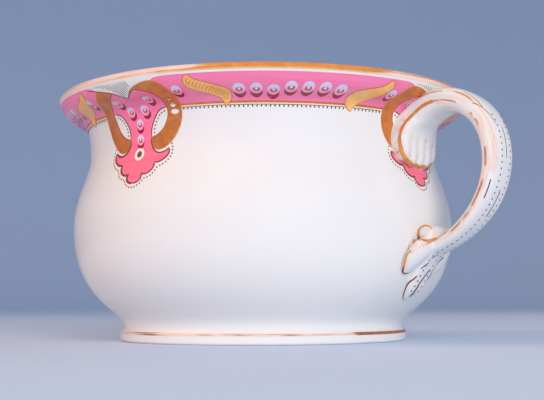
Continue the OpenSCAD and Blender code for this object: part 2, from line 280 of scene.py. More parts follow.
# %% The pot's gildings
gilt_strap = gilding("brown_gilding_burnished", "#c86e34", "#e8924c", "#f0c4a0",
                     wear_mm=(4, 4), worn_from=0.66, metal_share=0.34)
gilt_ribbon = gilding("light_gilding_burnished", "#fdb45c", "#ffcf86", "#f8e0c8",
                      wear_mm=(9, 9), worn_from=0.7, metal_share=0.08)
gilt_edge = gilding("edge_gilding_thin", "#e08a42", "#f8b56c", "#f6d2ae",
                    wear_mm=(6, 6), worn_from=0.6, metal_share=0.4)
# The lip's gold turns to a pale painted highlight towards its lower edge.
gilt_lip = gilding("lip_gilding_worn_at_the_sides_with_painted_highlight", "#e8873a", "#ffb05a", "#f7d6c6",
                   wear_mm=(40, 1.3), worn_from=0.5, metal_share=0.3,
                   kept=(-45, 13, 28), highlight_mm=(132.0, 130.7))
gilt_trace = gilding("gilding_rubbed_to_a_stain", "#bd7a4e", "#dda67e", "#f5dccd",
                     wear_mm=(9, 9), worn_from=0.46, metal_share=0.3)
gilt_foot = gilding("foot_gilding_rubbed_in_streaks", "#a45c32", "#cf8c5e", "#f5d8c8",
                    wear_mm=(34, 0.7), worn_from=0.5, metal_share=0.3, kept=(40, 52, 58))

# %% [markdown]
# ## Printed colours
#
# The outlines, dots and studs are transfer prints: flat ceramic inks under the same gloss as the
# glaze. One material with a picture could hold them all, but an ink for each colour keeps the edges
# sharp and the colours easy to change. The ink is slightly uneven from the engraved plate. The
# plate's grain is finer in truth, and it is drawn at about 1 mm so that it shows.

# %% Printed inks
def printed_ink(name, dark, pale):
    material, tree, shader, place = new_material(name)
    plate = add_node(tree, "TexNoise", {"Vector": place, "Scale": 1 / MM, "Detail": 2.0})
    ink = add_node(tree, "Mix", {
        0: plate.outputs["Fac"], 6: linear(dark), 7: linear(pale)}, data_type="RGBA")
    tree.links.new(ink.outputs[2], shader.inputs["Base Color"])
    shader.inputs["Roughness"].default_value = 0.15
    shader.inputs["IOR"].default_value = 1.55
    print("made", name)
    return material


brown_ink = printed_ink("brown_outline_ink", "#722f18", "#994c28")
black_ink = printed_ink("brown_black_dot_ink", "#382822", "#574238")
crimson_ink = printed_ink("crimson_shadow_ink", "#8c0030", "#b40c50")
core_ink = printed_ink("deep_pink_core_ink", "#c83c6c", "#e0648e")
blush_ink = printed_ink("salmon_ring_ink", "#fa9cb4", "#fdb2c4")
lilac_ink = printed_ink("pale_lilac_ring_ink", "#fcc0de", "#fdd2e8")
sky_ink = printed_ink("blue_white_light_ink", "#c0d2f2", "#dee4f8")
white_ink = printed_ink("white_reserve_ink", "#f6ece6", "#f8f3ee")
cream_ink = printed_ink("cream_stain_ink", "#f6dcb8", "#fbe9d2")

# %% [markdown]
# ## The pot's outline
#
# A potter draws a pot as one half outline, and the wheel turns it. Four places set this one: the
# waist over the foot, the belly, the neck and the lip. Smooth cubic curves join them, with the same
# sizes as the solid model. The pot could also be sculpted to look right, but curves keep it exactly
# on the solid one. The outline is also the ruler for the decoration: a place on the side is an angle
# and a length down from the lip.

# %% Outline of the bowl
WALL = 5.0
HEIGHT = 134.5
LIP_OUT = 115.0
WAIST = np.array([78.3, 8.2])
BELLY = np.array([106.3, 62.0])
NECK = np.array([97.4, 101.5])
LIP_R = WALL / 2
LIP_STEPS = 16
LIP_MID = np.array([LIP_OUT - LIP_R, HEIGHT - LIP_R])
RIM_SLOPE = math.radians(65)
UP = np.array([0.0, 1.0])
# A pull is the share of a curve's rise over which it keeps the direction of that end.
WAIST_PULL, BELLY_PULL_DOWN, BELLY_PULL_UP, NECK_PULL, RIM_PULL = 0.165, 0.74, 0.445, 0.27, 0.6


def cubic(ends, steps):
    a, b, c, d = [np.asarray(end, float) for end in ends]
    u = np.linspace(0, 1, steps + 1)[:, None]
    return (1 - u) ** 3 * a + 3 * (1 - u) ** 2 * u * b + 3 * (1 - u) * u ** 2 * c + u ** 3 * d


def arc(middle, radius, first, last, steps):
    turn = np.linspace(first, last, steps + 1)
    return np.asarray(middle) + radius * np.stack([np.cos(turn), np.sin(turn)], 1)


def joined(*runs):
    return np.concatenate([runs[0]] + [run[1:] for run in runs[1:]])


def unit(rows):
    return rows / np.linalg.norm(rows, axis=-1, keepdims=True)


def normals_of(line):
    along_line = unit(np.gradient(line, axis=0))
    return np.stack([along_line[:, 1], -along_line[:, 0]], 1)


lip_start = LIP_MID + LIP_R * np.array([math.sin(RIM_SLOPE), -math.cos(RIM_SLOPE)])
belly_rise = BELLY[1] - WAIST[1]
neck_rise = NECK[1] - BELLY[1]
rim_rise = lip_start[1] - NECK[1]
rim_run = np.array([math.cos(RIM_SLOPE), math.sin(RIM_SLOPE)])
belly_line = cubic([WAIST, WAIST + WAIST_PULL * belly_rise * UP,
                    BELLY - BELLY_PULL_DOWN * belly_rise * UP, BELLY], 40)
neck_line = cubic([BELLY, BELLY + BELLY_PULL_UP * neck_rise * UP,
                   NECK - NECK_PULL * neck_rise * UP, NECK], 30)
rim_line = cubic([NECK, NECK + rim_rise * UP, lip_start - RIM_PULL * rim_rise * rim_run, lip_start], 40)
outer = joined(belly_line, neck_line, rim_line)
lip = arc(LIP_MID, LIP_R, RIM_SLOPE - math.pi / 2, RIM_SLOPE + math.pi / 2, LIP_STEPS)
print("outline runs from", outer[0].round(1), "to", lip[-1].round(1), "mm")

# %% [markdown]
# ## Turning the bowl and the foot ring
#
# The real bowl is pressed over a mould on a jolley, and the foot ring is turned and luted on with slip.
# A lathe mesh does the same: each outline is copied around the axis. The Screw modifier could turn it
# too, but a short function closes the rings to one point at the axis and leaves nothing to apply later.
# Another function makes a piece of the pot from a mesh and gives it a material and a body to ride on.

# %% Turned meshes and pieces
SHARP_EDGE = math.radians(50)


def full_turn(count):
    return np.linspace(0, 2 * math.pi, count, endpoint=False)


def lathe(outline, closed, around=240):
    """Points and faces of an outline of radii and heights that is turned about the axis."""
    points = []
    rings = []
    for radius, height in outline:
        first = len(points)
        if radius < 0.001:
            points.append((0, 0, height))
            rings.append([first] * around)
        else:
            points += [(radius * math.cos(a), radius * math.sin(a), height) for a in full_turn(around)]
            rings.append(list(range(first, first + around)))
    if closed:
        rings.append(rings[0])
    faces = []
    for low, high in zip(rings, rings[1:]):
        for i in range(around):
            j = (i + 1) % around
            corners = [low[i], low[j], high[j], high[i]]
            faces.append(list(dict.fromkeys(corners)))
    return points, faces


def mesh_object(name, points, faces):
    """A smooth-shaded object from points in millimetres."""
    mesh = bpy.data.meshes.new(name)
    mesh.from_pydata((np.asarray(points) * MM).tolist(), [], faces)
    mesh.polygons.foreach_set("use_smooth", [True] * len(mesh.polygons))
    made = bpy.data.objects.new(name, mesh)
    bpy.context.collection.objects.link(made)
    return made


def make_piece(name, points, faces, material, slot, normals=None):
    """A piece of the pot, which rides on its one body."""
    piece = mesh_object(name, points, faces)
    mesh = piece.data
    mesh.materials.append(material)
    mesh.set_sharp_from_angle(angle=SHARP_EDGE)
    if normals is not None:
        mesh.normals_split_custom_set_from_vertices(np.asarray(normals).tolist())
    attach(piece, "root")
    print("made", name, "with", len(mesh.polygons), "faces")
    return piece


print("edges over", round(math.degrees(SHARP_EDGE)), "degrees stay sharp")

# %% [markdown]
# The bowl's inside keeps the wall's thickness all the way down and rounds into a flat floor. A
# Solidify modifier could give the wall, but not the round lip and the level floor, so the inside has
# its own line.

# %% Bowl
FLOOR_Z = 14.2
CORNER_RISE = 4.5
wall_line = outer - WALL * normals_of(outer)
wall_line = wall_line[wall_line[:, 1] > FLOOR_Z + CORNER_RISE]
corner_top = wall_line[0]
corner_run = unit(wall_line[1] - wall_line[0])
corner_mid = corner_top - corner_run * (corner_top[1] - FLOOR_Z) / corner_run[1]
corner_low = corner_mid - np.array([np.linalg.norm(corner_top - corner_mid), 0])
corner = cubic([corner_low, corner_low + (corner_mid - corner_low) * 2 / 3,
                corner_top + (corner_mid - corner_top) * 2 / 3, corner_top], 8)
floor_rings = [np.array([r, FLOOR_Z]) for r in (50.0, 30.0, 12.0, 3.0, 0.0)]
under_rings = [np.array([r, WAIST[1]]) for r in (0.0, 3.0, 12.0, 40.0, 66.0)]
inside_line = np.concatenate([wall_line[::-1], corner[::-1][1:], floor_rings])
bowl_line = np.concatenate([under_rings, outer, lip[1:], inside_line])
bowl = make_piece("bowl_glazed", *lathe(bowl_line, False), glaze, "glazed_earthenware")
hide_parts("bowl")

# %% [markdown]
# The foot ring has a round lower edge, a short upright side and a soft draw-in to the waist. It could
# be one mesh with the bowl, but it is a piece of its own on the real pot and in the solid model, so
# it is one here.

# %% Foot ring
FOOT_R, FOOT_W = 80.1, 9.0
FOOT_EDGE = 1.6
FOOT_BULGE_Z = 5.0
foot_inner = FOOT_R - FOOT_EDGE - FOOT_W
draw_in = WAIST[1] - FOOT_BULGE_Z
foot_line = joined(
    arc((FOOT_R - FOOT_EDGE, FOOT_EDGE), FOOT_EDGE, -math.pi / 2, 0, 8),
    np.array([[FOOT_R, FOOT_EDGE], [FOOT_R, FOOT_BULGE_Z]]),
    cubic([(FOOT_R, FOOT_BULGE_Z), (FOOT_R, FOOT_BULGE_Z + draw_in / 2),
           (WAIST[0], WAIST[1] - draw_in / 3), WAIST], 10))
foot_back = np.array([[foot_inner - 1.5, WAIST[1]], [foot_inner - 0.8, 2.0],
                      [foot_inner + 0.4, 0.4], [foot_inner + 1.6, 0.0]])
foot_outline = np.concatenate([foot_line, foot_back])
foot = make_piece("foot_ring_glazed", *lathe(foot_outline, True), glaze, "glazed_earthenware")
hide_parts("foot_ring")

# %% [markdown]
# ## The handle's clay
#
# The handle is pressed in a two-part mould: a strap with a rounded oblong section arches from the
# neck to the belly. Its start spreads into a fluted leaf. Its end is a leaf of three lobes, with a
# rolled scroll and two small buds. Each form is a row of closed rings along a curve in the handle's
# plane, the XZ plane. A bevelled curve could make a plain strap, but rings let width, thickness and
# section change on the way. Stations count the strap's rings: 0 is its root, 44 the place farthest
# from the pot, 84 the landing on the belly and 116 the tip of the tail.

# %% Strap
def oblong(s):
    """The height of a rounded oblong at a share s of its half width."""
    return np.clip(1 - np.abs(s) ** 3, 0, None) ** (1 / 3)


def ease(s):
    s = np.clip(s, 0, 1)
    return s * s * (3 - 2 * s)


def mix(a, b, s):
    return a + (b - a) * s


def heading(degrees):
    return np.array([math.cos(math.radians(degrees)), math.sin(math.radians(degrees))])


def outer_r(z):
    return np.interp(z, outer[:, 1], outer[:, 0])


def run_length(path):
    """The length along a path at each of its points."""
    return np.concatenate([[0], np.cumsum(np.linalg.norm(np.diff(path, axis=0), axis=1))])


ROOT_RISE, LANDING_SLOPE, TAIL_SLOPE = 38, 23.5, 45
LANDING_OFF = 7.9
# On the handle a pull is a length in millimetres.
ROOT_PULL, FAR_PULL_UP, FAR_PULL_DOWN = 21, 24.3, 15.4
LANDING_PULL_UP, LANDING_PULL_DOWN, TAIL_PULL = 26, 10, 12
ARCH_STEPS, DROP_STEPS, TAIL_STEPS = 44, 40, 32
ROOT = np.array([NECK[0] + 8.6, HEIGHT - 16.5])
FAR = np.array([LIP_OUT + 30.3, HEIGHT - 41.8])
LANDING_Z = BELLY[1] - 13.0
LANDING = np.array([outer_r(LANDING_Z) + LANDING_OFF, LANDING_Z])
TAIL_Z = LANDING_Z - 26.5
TAIL_TIP = np.array([outer_r(TAIL_Z) + 0.4, TAIL_Z])
ROOT_W, STRAP_W, TAIL_W = 26.0, 22.4, 18.0
ROOT_T, BELLY_T = 13.6, 6.6
FAR_T = (ROOT_T + BELLY_T) / 2
ACROSS = 28
across = np.sin(np.linspace(-math.pi / 2, math.pi / 2, ACROSS + 1))
arch_line = cubic([ROOT, ROOT + ROOT_PULL * heading(ROOT_RISE),
                   FAR + FAR_PULL_UP * UP, FAR], ARCH_STEPS)
drop_line = cubic([FAR, FAR - FAR_PULL_DOWN * UP,
                   LANDING + LANDING_PULL_UP * heading(LANDING_SLOPE), LANDING], DROP_STEPS)
tail_line = cubic([LANDING, LANDING - LANDING_PULL_DOWN * heading(LANDING_SLOPE),
                   TAIL_TIP + TAIL_PULL * heading(TAIL_SLOPE), TAIL_TIP], TAIL_STEPS)
strap_line = joined(arch_line, drop_line, tail_line)
arch_share, drop_share, tail_share = [np.linspace(0, 1, len(line))
                                      for line in (arch_line, drop_line, tail_line)]
tail_end = np.clip(tail_share - 0.35, 0, None) / 0.65
strap_half_w = joined(mix(ROOT_W, STRAP_W, ease(arch_share / 0.45)) / 2,
                      mix(STRAP_W, TAIL_W, ease((drop_share - 0.4) / 0.6)) / 2,
                      TAIL_W / 2 * np.maximum(np.sqrt(1 - tail_end ** 2), 0.14))
strap_half_t = joined(mix(ROOT_T, FAR_T, arch_share) / 2,
                      mix(FAR_T, BELLY_T, drop_share) / 2,
                      mix(BELLY_T, BELLY_T * 0.35, ease((tail_share - 0.75) / 0.25)) / 2)
strap_front = normals_of(strap_line)


def strap_point(i, s, lift):
    """A place at station i, a share s of the half width aside and lifted along the inner normal."""
    q = strap_line[i] + lift * strap_front[i]
    return np.array([q[0], s * strap_half_w[i], q[1]])


def strap_ring(i):
    thick = strap_half_t[i] * oblong(across)
    front = [strap_point(i, s, t) for s, t in zip(across, thick)]
    back = [strap_point(i, s, -t) for s, t in zip(across[1:-1], thick[1:-1])]
    return np.array(front + back[::-1])


print("strap length", round(float(run_length(strap_line)[-1]), 1), "mm")

# %% [markdown]
# The upper leaf stands on the neck like a shell. Five ribs run over it, its edge is scalloped where
# they end, and towards the root its section turns into the strap's own. The ribs could be a bump in
# the glaze, but they shape the leaf's edge as well, so the mesh has them.

# %% Upper leaf
LEAF_LEN, LEAF_W, LEAF_WIDE_DROP, LEAF_RELIEF, FLUTE_DEPTH = 29.0, 36.5, 14.5, 4.2, 1.3
LEAF_RIBS, SCALLOP, LEAF_SUNK, LEAF_PULL = 5, 0.08, 7.0, 11
# Shares of the way up the leaf: how far its tip is rounded and its flutes run, and from where it
# turns into the strap.
TIP_TO, FLUTES_TO, STRAP_FROM = 0.33, 0.7, 0.45
LEAF_STEPS = 200
leaf_tip = np.array([outer_r(ROOT[1] - LEAF_LEN), ROOT[1] - LEAF_LEN])
leaf_line = cubic([leaf_tip, leaf_tip + LEAF_PULL * UP,
                   ROOT - LEAF_PULL * heading(ROOT_RISE), ROOT], LEAF_STEPS)
leaf_front = normals_of(leaf_line)
leaf_wide = (LEAF_LEN - LEAF_WIDE_DROP) / LEAF_LEN


def leaf_point(s, v, face):
    """A place s across the leaf and v from its edge to the strap; face is 1 in front, -1 behind."""
    rib = abs(math.cos(s * math.pi / 2 * LEAF_RIBS))
    edge = leaf_wide * (1 - float(oblong(s)) * mix(1, rib, SCALLOP))
    u = mix(edge, 1, v)
    turn = ease((u - STRAP_FROM) / (1 - STRAP_FROM))
    strap_t = ROOT_T / 2 * oblong(np.array(s))
    if face > 0:
        ribs = LEAF_RELIEF - FLUTE_DEPTH * (1 - rib) * (1 - ease(u / FLUTES_TO))
        tip = (1 - (1 - min(v / TIP_TO, 1)) ** 3) ** 0.6
        lift = mix(ribs * max(1 - abs(s) ** 6, 0) ** (1 / 3) * tip, strap_t, turn)
    else:
        lift = mix(-LEAF_SUNK, -strap_t, turn)
    i = min(int(round(u * LEAF_STEPS)), LEAF_STEPS)
    q = leaf_line[i] + lift * leaf_front[i]
    half_w = mix(LEAF_W, ROOT_W, ease((u - leaf_wide) / (1 - leaf_wide))) / 2
    return np.array([q[0], s * half_w, q[1]])


def leaf_ring(v):
    front = [leaf_point(s, v, 1) for s in across]
    back = [leaf_point(s, v, -1) for s in across[1:-1]]
    return np.array(front + back[::-1])


def grid_faces(rows, columns, closed=False):
    """Faces between rows of points; closed rows run round to their start."""
    return [[i * columns + j, i * columns + (j + 1) % columns,
             (i + 1) * columns + (j + 1) % columns, (i + 1) * columns + j]
            for i in range(rows - 1) for j in range(columns if closed else columns - 1)]


def ring_mesh(rings):
    """Points and faces of a closed solid through a row of closed rings."""
    n = len(rings[0])
    last = (len(rings) - 1) * n
    ends = [list(range(n))[::-1], list(range(last, last + n))]
    return np.concatenate(rings), grid_faces(len(rings), n, True) + ends


strap_form = ring_mesh([strap_ring(i) for i in range(len(strap_line))])
leaf_form = ring_mesh([leaf_ring(v) for v in np.linspace(0, 1, 41)])
print("strap and leaf have", len(strap_form[1]), "and", len(leaf_form[1]), "faces")

# %% [markdown]
# The scroll is a short roll across the handle. The side lobes run down the belly from under the
# strap: their middle lines are given as a distance from the handle's plane, a height and a stand-off
# from the belly. Each bud is a drop in the angle between the scroll and a lobe. Stretched spheres
# would be quicker to make, but they wouldn't lie along the belly as these do.

# %% Scroll, lower lobes and buds
SCROLL_R, SCROLL_LEN, SCROLL_EDGE = 4.3, 22.0, 1.2
SCROLL_SIDES, LOBE_SIDES, BUD_SIDES = 40, 32, 24
scroll_z = LANDING_Z + 6.6
scroll_mid = np.array([outer_r(scroll_z) + SCROLL_R - 0.2, 0, scroll_z])
LOBE_OUT, LOBE_W, LOBE_LEN, LOBE_T, LOBE_BOW = 20.0, 13.0, 14.0, 6.4, 2.0
LOBE_STEPS = 30
lobe_mid = LOBE_OUT - LOBE_W / 2
BUD_D, BUD_LEN = 4.4, 7.5


def off_side(y, z, off):
    """A place that stands off the pot's side, at a distance y from the handle's plane."""
    slope = outer_r(z + 0.5) - outer_r(z - 0.5)
    out = unit(np.array([1.0, -slope]))
    angle = math.asin(y / outer_r(z))
    radius = outer_r(z) + off * out[0]
    return np.array([radius * math.cos(angle), radius * math.sin(angle), z + off * out[1]])


def scroll_form():
    ends = arc((SCROLL_R - SCROLL_EDGE, SCROLL_LEN / 2 - SCROLL_EDGE), SCROLL_EDGE, 0, math.pi / 2, 6)
    half = np.concatenate([ends, [[0.4, SCROLL_LEN / 2]]])
    line = np.concatenate([half[::-1] * (1, -1), half])
    turn = full_turn(SCROLL_SIDES)
    rings = []
    for r, y in line:
        ring = np.stack([r * np.cos(turn), np.full(SCROLL_SIDES, y), -r * np.sin(turn)], 1)
        rings.append(scroll_mid + ring)
    return ring_mesh(rings)


def lobe_rings(side):
    """The rings of one side lobe, each with its first point on the side that faces out."""
    line = cubic([(TAIL_W / 3, LANDING_Z + 4, LANDING_OFF),
                  (lobe_mid - LOBE_BOW / 2, LANDING_Z + 1, 5.0),
                  (lobe_mid + LOBE_BOW, LANDING_Z - LOBE_LEN / 2, 1.0),
                  (lobe_mid, LANDING_Z - LOBE_LEN, 0.2)], LOBE_STEPS)
    middles = np.array([off_side(side * y, z, off) for y, z, off in line])
    runs = unit(np.gradient(middles, axis=0))
    turn = full_turn(LOBE_SIDES)[:, None]
    rings = []
    for i, (y, z, off) in enumerate(line):
        out = unit(off_side(side * y, z, off + 1) - off_side(side * y, z, off))
        wide = unit(np.cross(out, runs[i]))
        high = np.cross(runs[i], wide)
        share = math.sin(math.pi * mix(0.1, 0.97, (i / LOBE_STEPS) ** 1.15)) ** 0.6
        rings.append(middles[i] + share * (LOBE_W / 2 * np.sin(turn) * wide
                                           + LOBE_T / 2 * np.cos(turn) * high))
    return rings


def bud_ends(side):
    low = off_side(side * (lobe_mid + LOBE_BOW), LANDING_Z - BUD_LEN / 5, BUD_D / 4)
    high = off_side(side * lobe_mid, LANDING_Z + BUD_LEN * 0.6, BUD_D / 4)
    return low, high


def bud_form(side):
    low, high = bud_ends(side)
    run = unit(high - low)
    wide = unit(np.cross(run, (0, 0, 1)))
    deep = np.cross(run, wide)
    drop = cubic([(0, 0), (BUD_D * 0.7, 0), (BUD_D * 0.6, BUD_LEN / 2), (0, BUD_LEN)], 16)
    turn = full_turn(BUD_SIDES)[:, None]
    rim = np.cos(turn) * wide + np.sin(turn) * deep
    return ring_mesh([low + h * run + max(r, 0.05) * rim for r, h in drop])


forms = {"handle_strap": strap_form, "upper_leaf": leaf_form, "scroll": scroll_form(),
         "lower_leaf_left": ring_mesh(lobe_rings(-1)), "lower_leaf_right": ring_mesh(lobe_rings(1)),
         "bud_left": bud_form(-1), "bud_right": bud_form(1)}
print("handle forms:", ", ".join(forms))

# %% [markdown]
# In the mould all these forms are one lump of clay, and the glaze softens every inner corner. A
# Boolean union would leave those corners sharp. So the forms are joined, remeshed on a fine grid and
# smoothed, and they flow into each other. What lies inside the bowl's wall is dropped.

# %% One smooth skin
SKIN_GRID = 0.6
HIDDEN_DEPTH = 1.5


def side_depth(points):
    """How deep each point lies under the pot's outer side, in millimetres; negative outside."""
    flat = np.stack([np.hypot(points[:, 0], points[:, 1]), points[:, 2]], 1)
    line = joined(outer, lip[:LIP_STEPS // 2 + 1])
    normals = normals_of(line)
    nearest = np.array([np.argmin(((line - p) ** 2).sum(1)) for p in flat])
    return -((flat - line[nearest]) * normals[nearest]).sum(1)


lump_points = []
lump_faces = []
for points, faces in forms.values():
    first = len(lump_points)
    lump_points += points.tolist()
    lump_faces += [[first + k for k in face] for face in faces]
lump = mesh_object("handle_lump", lump_points, lump_faces)
skin = lump.modifiers.new("skin", "REMESH")
skin.mode = "VOXEL"
skin.voxel_size = SKIN_GRID * MM
soften = lump.modifiers.new("soften", "SMOOTH")
soften.factor = 0.5
soften.iterations = 8
evaluated_lump = lump.evaluated_get(bpy.context.evaluated_depsgraph_get())
smooth_mesh = bpy.data.meshes.new_from_object(evaluated_lump)
bpy.data.objects.remove(lump)
skin_points = np.array([v.co for v in smooth_mesh.vertices]) / MM
skin_normals = np.array([v.normal for v in smooth_mesh.vertices])
depth = side_depth(skin_points)
skin_faces = [list(p.vertices) for p in smooth_mesh.polygons]
skin_faces = [face for face in skin_faces if min(depth[face]) < HIDDEN_DEPTH]
handle_tree = BVHTree.FromPolygons(skin_points.tolist(), skin_faces)
print("the handle's skin has", len(skin_faces), "faces")

# %% [markdown]
# The solid model has seven pieces in its handle, and each gets a dressed one. So the smooth skin is
# cut up again, and each face goes to the form that lies nearest to it. Smoothing the pieces one by
# one would open gaps between them. They keep the normals of the whole skin, so no seam shows.

# %% The handle's pieces
form_trees = {name: BVHTree.FromPolygons(points.tolist(), faces)
              for name, (points, faces) in forms.items()}
shared_out = {name: [] for name in forms}
for face in skin_faces:
    middle = Vector(skin_points[face].mean(0))
    gaps = {name: form.find_nearest(middle)[3] for name, form in form_trees.items()}
    shared_out[min(gaps, key=gaps.get)].append(face)
handle_pieces = []
for name, faces in shared_out.items():
    used = sorted({k for face in faces for k in face})
    place_of = {k: i for i, k in enumerate(used)}
    own_faces = [[place_of[k] for k in face] for face in faces]
    piece = make_piece(name + "_glazed", skin_points[used], own_faces, handle_glaze,
                       "glazed_earthenware", skin_normals[used])
    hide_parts(name)
    handle_pieces.append(piece)

# %% [markdown]
# ## Drawing the decoration flat
#
# The decoration repeats four times around the pot. It could be painted as a picture on the glaze, but
# thin films of real mesh keep their edges sharp from near by and need no picture. They are drawn
# flat, with x in millimetres along a circle of 100 mm radius and y in millimetres down from the lip,
# and then wrapped. Three kinds of mark are enough: a patch inside a closed outline, a stroke along a
# path, and a dot.

# %% Paths on the flat
PATTERN_R = 100.0
LIP_TOP = 12
side_line = np.concatenate([lip[LIP_TOP::-1], outer[::-1][1:]])
side_s = run_length(side_line) - run_length(side_line)[LIP_TOP]
side_n = -normals_of(side_line)


def on_side(flat, middle, lift):
    """Points and normals on the pot's side for flat places, around a middle angle in degrees."""
    flat = np.asarray(flat, float)
    angle = math.radians(middle) + flat[:, 0] / PATTERN_R
    r, z = [np.interp(flat[:, 1], side_s, side_line[:, k]) for k in (0, 1)]
    out, up = [np.interp(flat[:, 1], side_s, side_n[:, k]) for k in (0, 1)]
    reach = r + lift * out
    points = np.stack([reach * np.cos(angle), reach * np.sin(angle), z + lift * up], 1)
    normals = np.stack([out * np.cos(angle), out * np.sin(angle), up], 1)
    return points, unit(normals)


def smooth(points, step=0.8):
    """Close points along a smooth curve through the given ones."""
    p = np.asarray(points, float)
    p = np.concatenate([[2 * p[0] - p[1]], p, [2 * p[-1] - p[-2]]])
    run = []
    for a, b, c, d in zip(p, p[1:], p[2:], p[3:]):
        n = max(int(np.linalg.norm(c - b) / step), 2)
        run.append(cubic([b, b + (c - a) / 6, c - (d - b) / 6, c], n))
    return joined(*run)


def mirrored(run):
    return np.asarray(run)[::-1] * (-1, 1)


def along(path, spacing):
    """Evenly spaced places on a path."""
    path = np.asarray(path, float)
    length = run_length(path)
    count = max(int(round(length[-1] / spacing)), 1)
    places = np.linspace(0, length[-1], count + 1)
    return np.stack([np.interp(places, length, path[:, k]) for k in (0, 1)], 1)


print("the flat ruler runs from", side_s[0].round(1), "to", side_s[-1].round(1), "mm")

# %% [markdown]
# A patch is filled with triangles: points are added on its edge and on a grid inside it, and a
# Delaunay net joins them. Blender can fill a flat curve by itself, but it adds no points inside, and
# such a patch would cut through the round clay. A stroke is a ribbon of quads and a dot is an oval in
# rings.

# %% Flat marks
FILM_GRID = 1.6


def inside(points, loop):
    """True where a point lies inside a closed loop."""
    odd = np.zeros(len(points), bool)
    for (x0, y0), (x1, y1) in zip(loop, np.roll(loop, -1, axis=0)):
        if y0 != y1:
            crosses = (points[:, 1] > min(y0, y1)) & (points[:, 1] <= max(y0, y1))
            odd ^= crosses & (points[:, 0] < x0 + (points[:, 1] - y0) * (x1 - x0) / (y1 - y0))
    return odd


def short_steps(loop):
    """The same closed loop with points added on its long edges."""
    points = []
    for a, b in zip(np.asarray(loop), np.roll(loop, -1, axis=0)):
        count = int(np.ceil(np.linalg.norm(b - a) / FILM_GRID))
        points += [mix(a, b, k / count) for k in range(count)]
    return np.array(points)


def patch(outline):
    """Triangles that fill a closed outline, with inner points on a grid."""
    loop = short_steps(outline)
    edges = [(i, (i + 1) % len(loop)) for i in range(len(loop))]
    low, high = loop.min(0), loop.max(0)
    xs, ys = np.meshgrid(np.arange(low[0], high[0], FILM_GRID), np.arange(low[1], high[1], FILM_GRID))
    inner = np.stack([xs.ravel(), ys.ravel()], 1)
    inner = inner[inside(inner, loop)]
    clear = [((loop - p) ** 2).sum(1).min() > (FILM_GRID / 2) ** 2 for p in inner]
    every = np.concatenate([loop, inner[np.array(clear, bool)]])
    found = delaunay_2d_cdt([Vector(p) for p in every], edges, [], 0, 1e-6)
    points = np.array(found[0])
    faces = np.array(found[2])
    return points, faces[inside(points[faces].mean(1), loop)].tolist()


def stroke(path, width, taper=0.0):
    """A ribbon along a path; over the share taper at each end it comes to a point."""
    path = np.asarray(path, float)
    run = unit(np.gradient(path, axis=0))
    aside = np.stack([-run[:, 1], run[:, 0]], 1)
    share = np.linspace(0, 1, len(path))
    narrow = np.minimum(1, np.minimum(share, 1 - share) / taper) if taper else np.ones(len(path))
    half = (width / 2 * np.maximum(narrow, 0.15))[:, None]
    return np.concatenate([path - half * aside, path + half * aside]), grid_faces(2, len(path))


def dot(x, y, half_w, half_h, corners=16, rings=1):
    """An oval in rings around its middle, so that a large one still follows the clay."""
    turn = full_turn(corners)
    rim = np.stack([half_w * np.cos(turn), half_h * np.sin(turn)], 1)
    points = np.concatenate([[(0, 0)]] + [rim * (k + 1) / rings for k in range(rings)]) + (x, y)
    faces = [[0, 1 + i, 1 + (i + 1) % corners] for i in range(corners)]
    faces += [[1 + k for k in face] for face in grid_faces(rings, corners, True)]
    return points, faces


print("a round dot has", len(dot(0, 0, 1, 1)[1]), "faces")

# %% [markdown]
# On the real pot the print and the gold are a few hundredths of a millimetre thick. A film here is
# one piece made of many marks, each laid just over the clay. A thin sheet alone would show a gap
# under its edge, so a rim round each mark reaches down into the glaze.

# %% Films
FILM_DEPTH = 0.25


def open_sides(faces):
    """The sides that only one face has."""
    sides = {}
    for face in faces:
        for a, b in zip(face, face[1:] + face[:1]):
            if (b, a) in sides:
                del sides[(b, a)]
            else:
                sides[(a, b)] = True
    return list(sides)


def film_piece(name, marks, material, slot):
    """One piece from marks that lie on the clay, each with its points, their normals and its faces."""
    points, normals, faces = [], [], []
    first = 0
    for top, out, mark_faces in marks:
        corners = top[[face[:3] for face in mark_faces]]
        facing = np.cross(corners[:, 1] - corners[:, 0], corners[:, 2] - corners[:, 0])
        inward = (facing * out[[face[0] for face in mark_faces]]).sum(1) < 0
        ordered = [face[::-1] if flip else face for face, flip in zip(mark_faces, inward)]
        sides = open_sides(ordered)
        edge = sorted({k for pair in sides for k in pair})
        lowered = {k: len(top) + i for i, k in enumerate(edge)}
        points += [top, top[edge] - FILM_DEPTH * out[edge]]
        normals += [out, out[edge]]
        faces += [[first + k for k in face] for face in ordered]
        faces += [[first + b, first + a, first + lowered[a], first + lowered[b]] for a, b in sides]
        first += len(top) + len(edge)
    return make_piece(name, np.concatenate(points), faces, material, slot, np.concatenate(normals))


def film(name, marks, material, slot, lift):
    """One piece from flat marks, each with the angle of its middle."""
    laid = [(*on_side(flat, middle, lift), faces) for (flat, faces), middle in marks]
    return film_piece(name, laid, material, slot)


print("films are", FILM_DEPTH, "mm deep from their top to their rim")

# %% [markdown]
# ## Band, pendants and straps
#
# Each pendant hangs under the band like a buckle: a rose shield with a notched top, lobed at its
# foot, between two gilt straps that curl round white windows. All of it could be drawn, but only the
# right half is, and its mirror gives the left, so that the two stay alike. The print was laid by
# hand: one pendant sits a little off its quarter, and its left strap slipped and lost its arch.

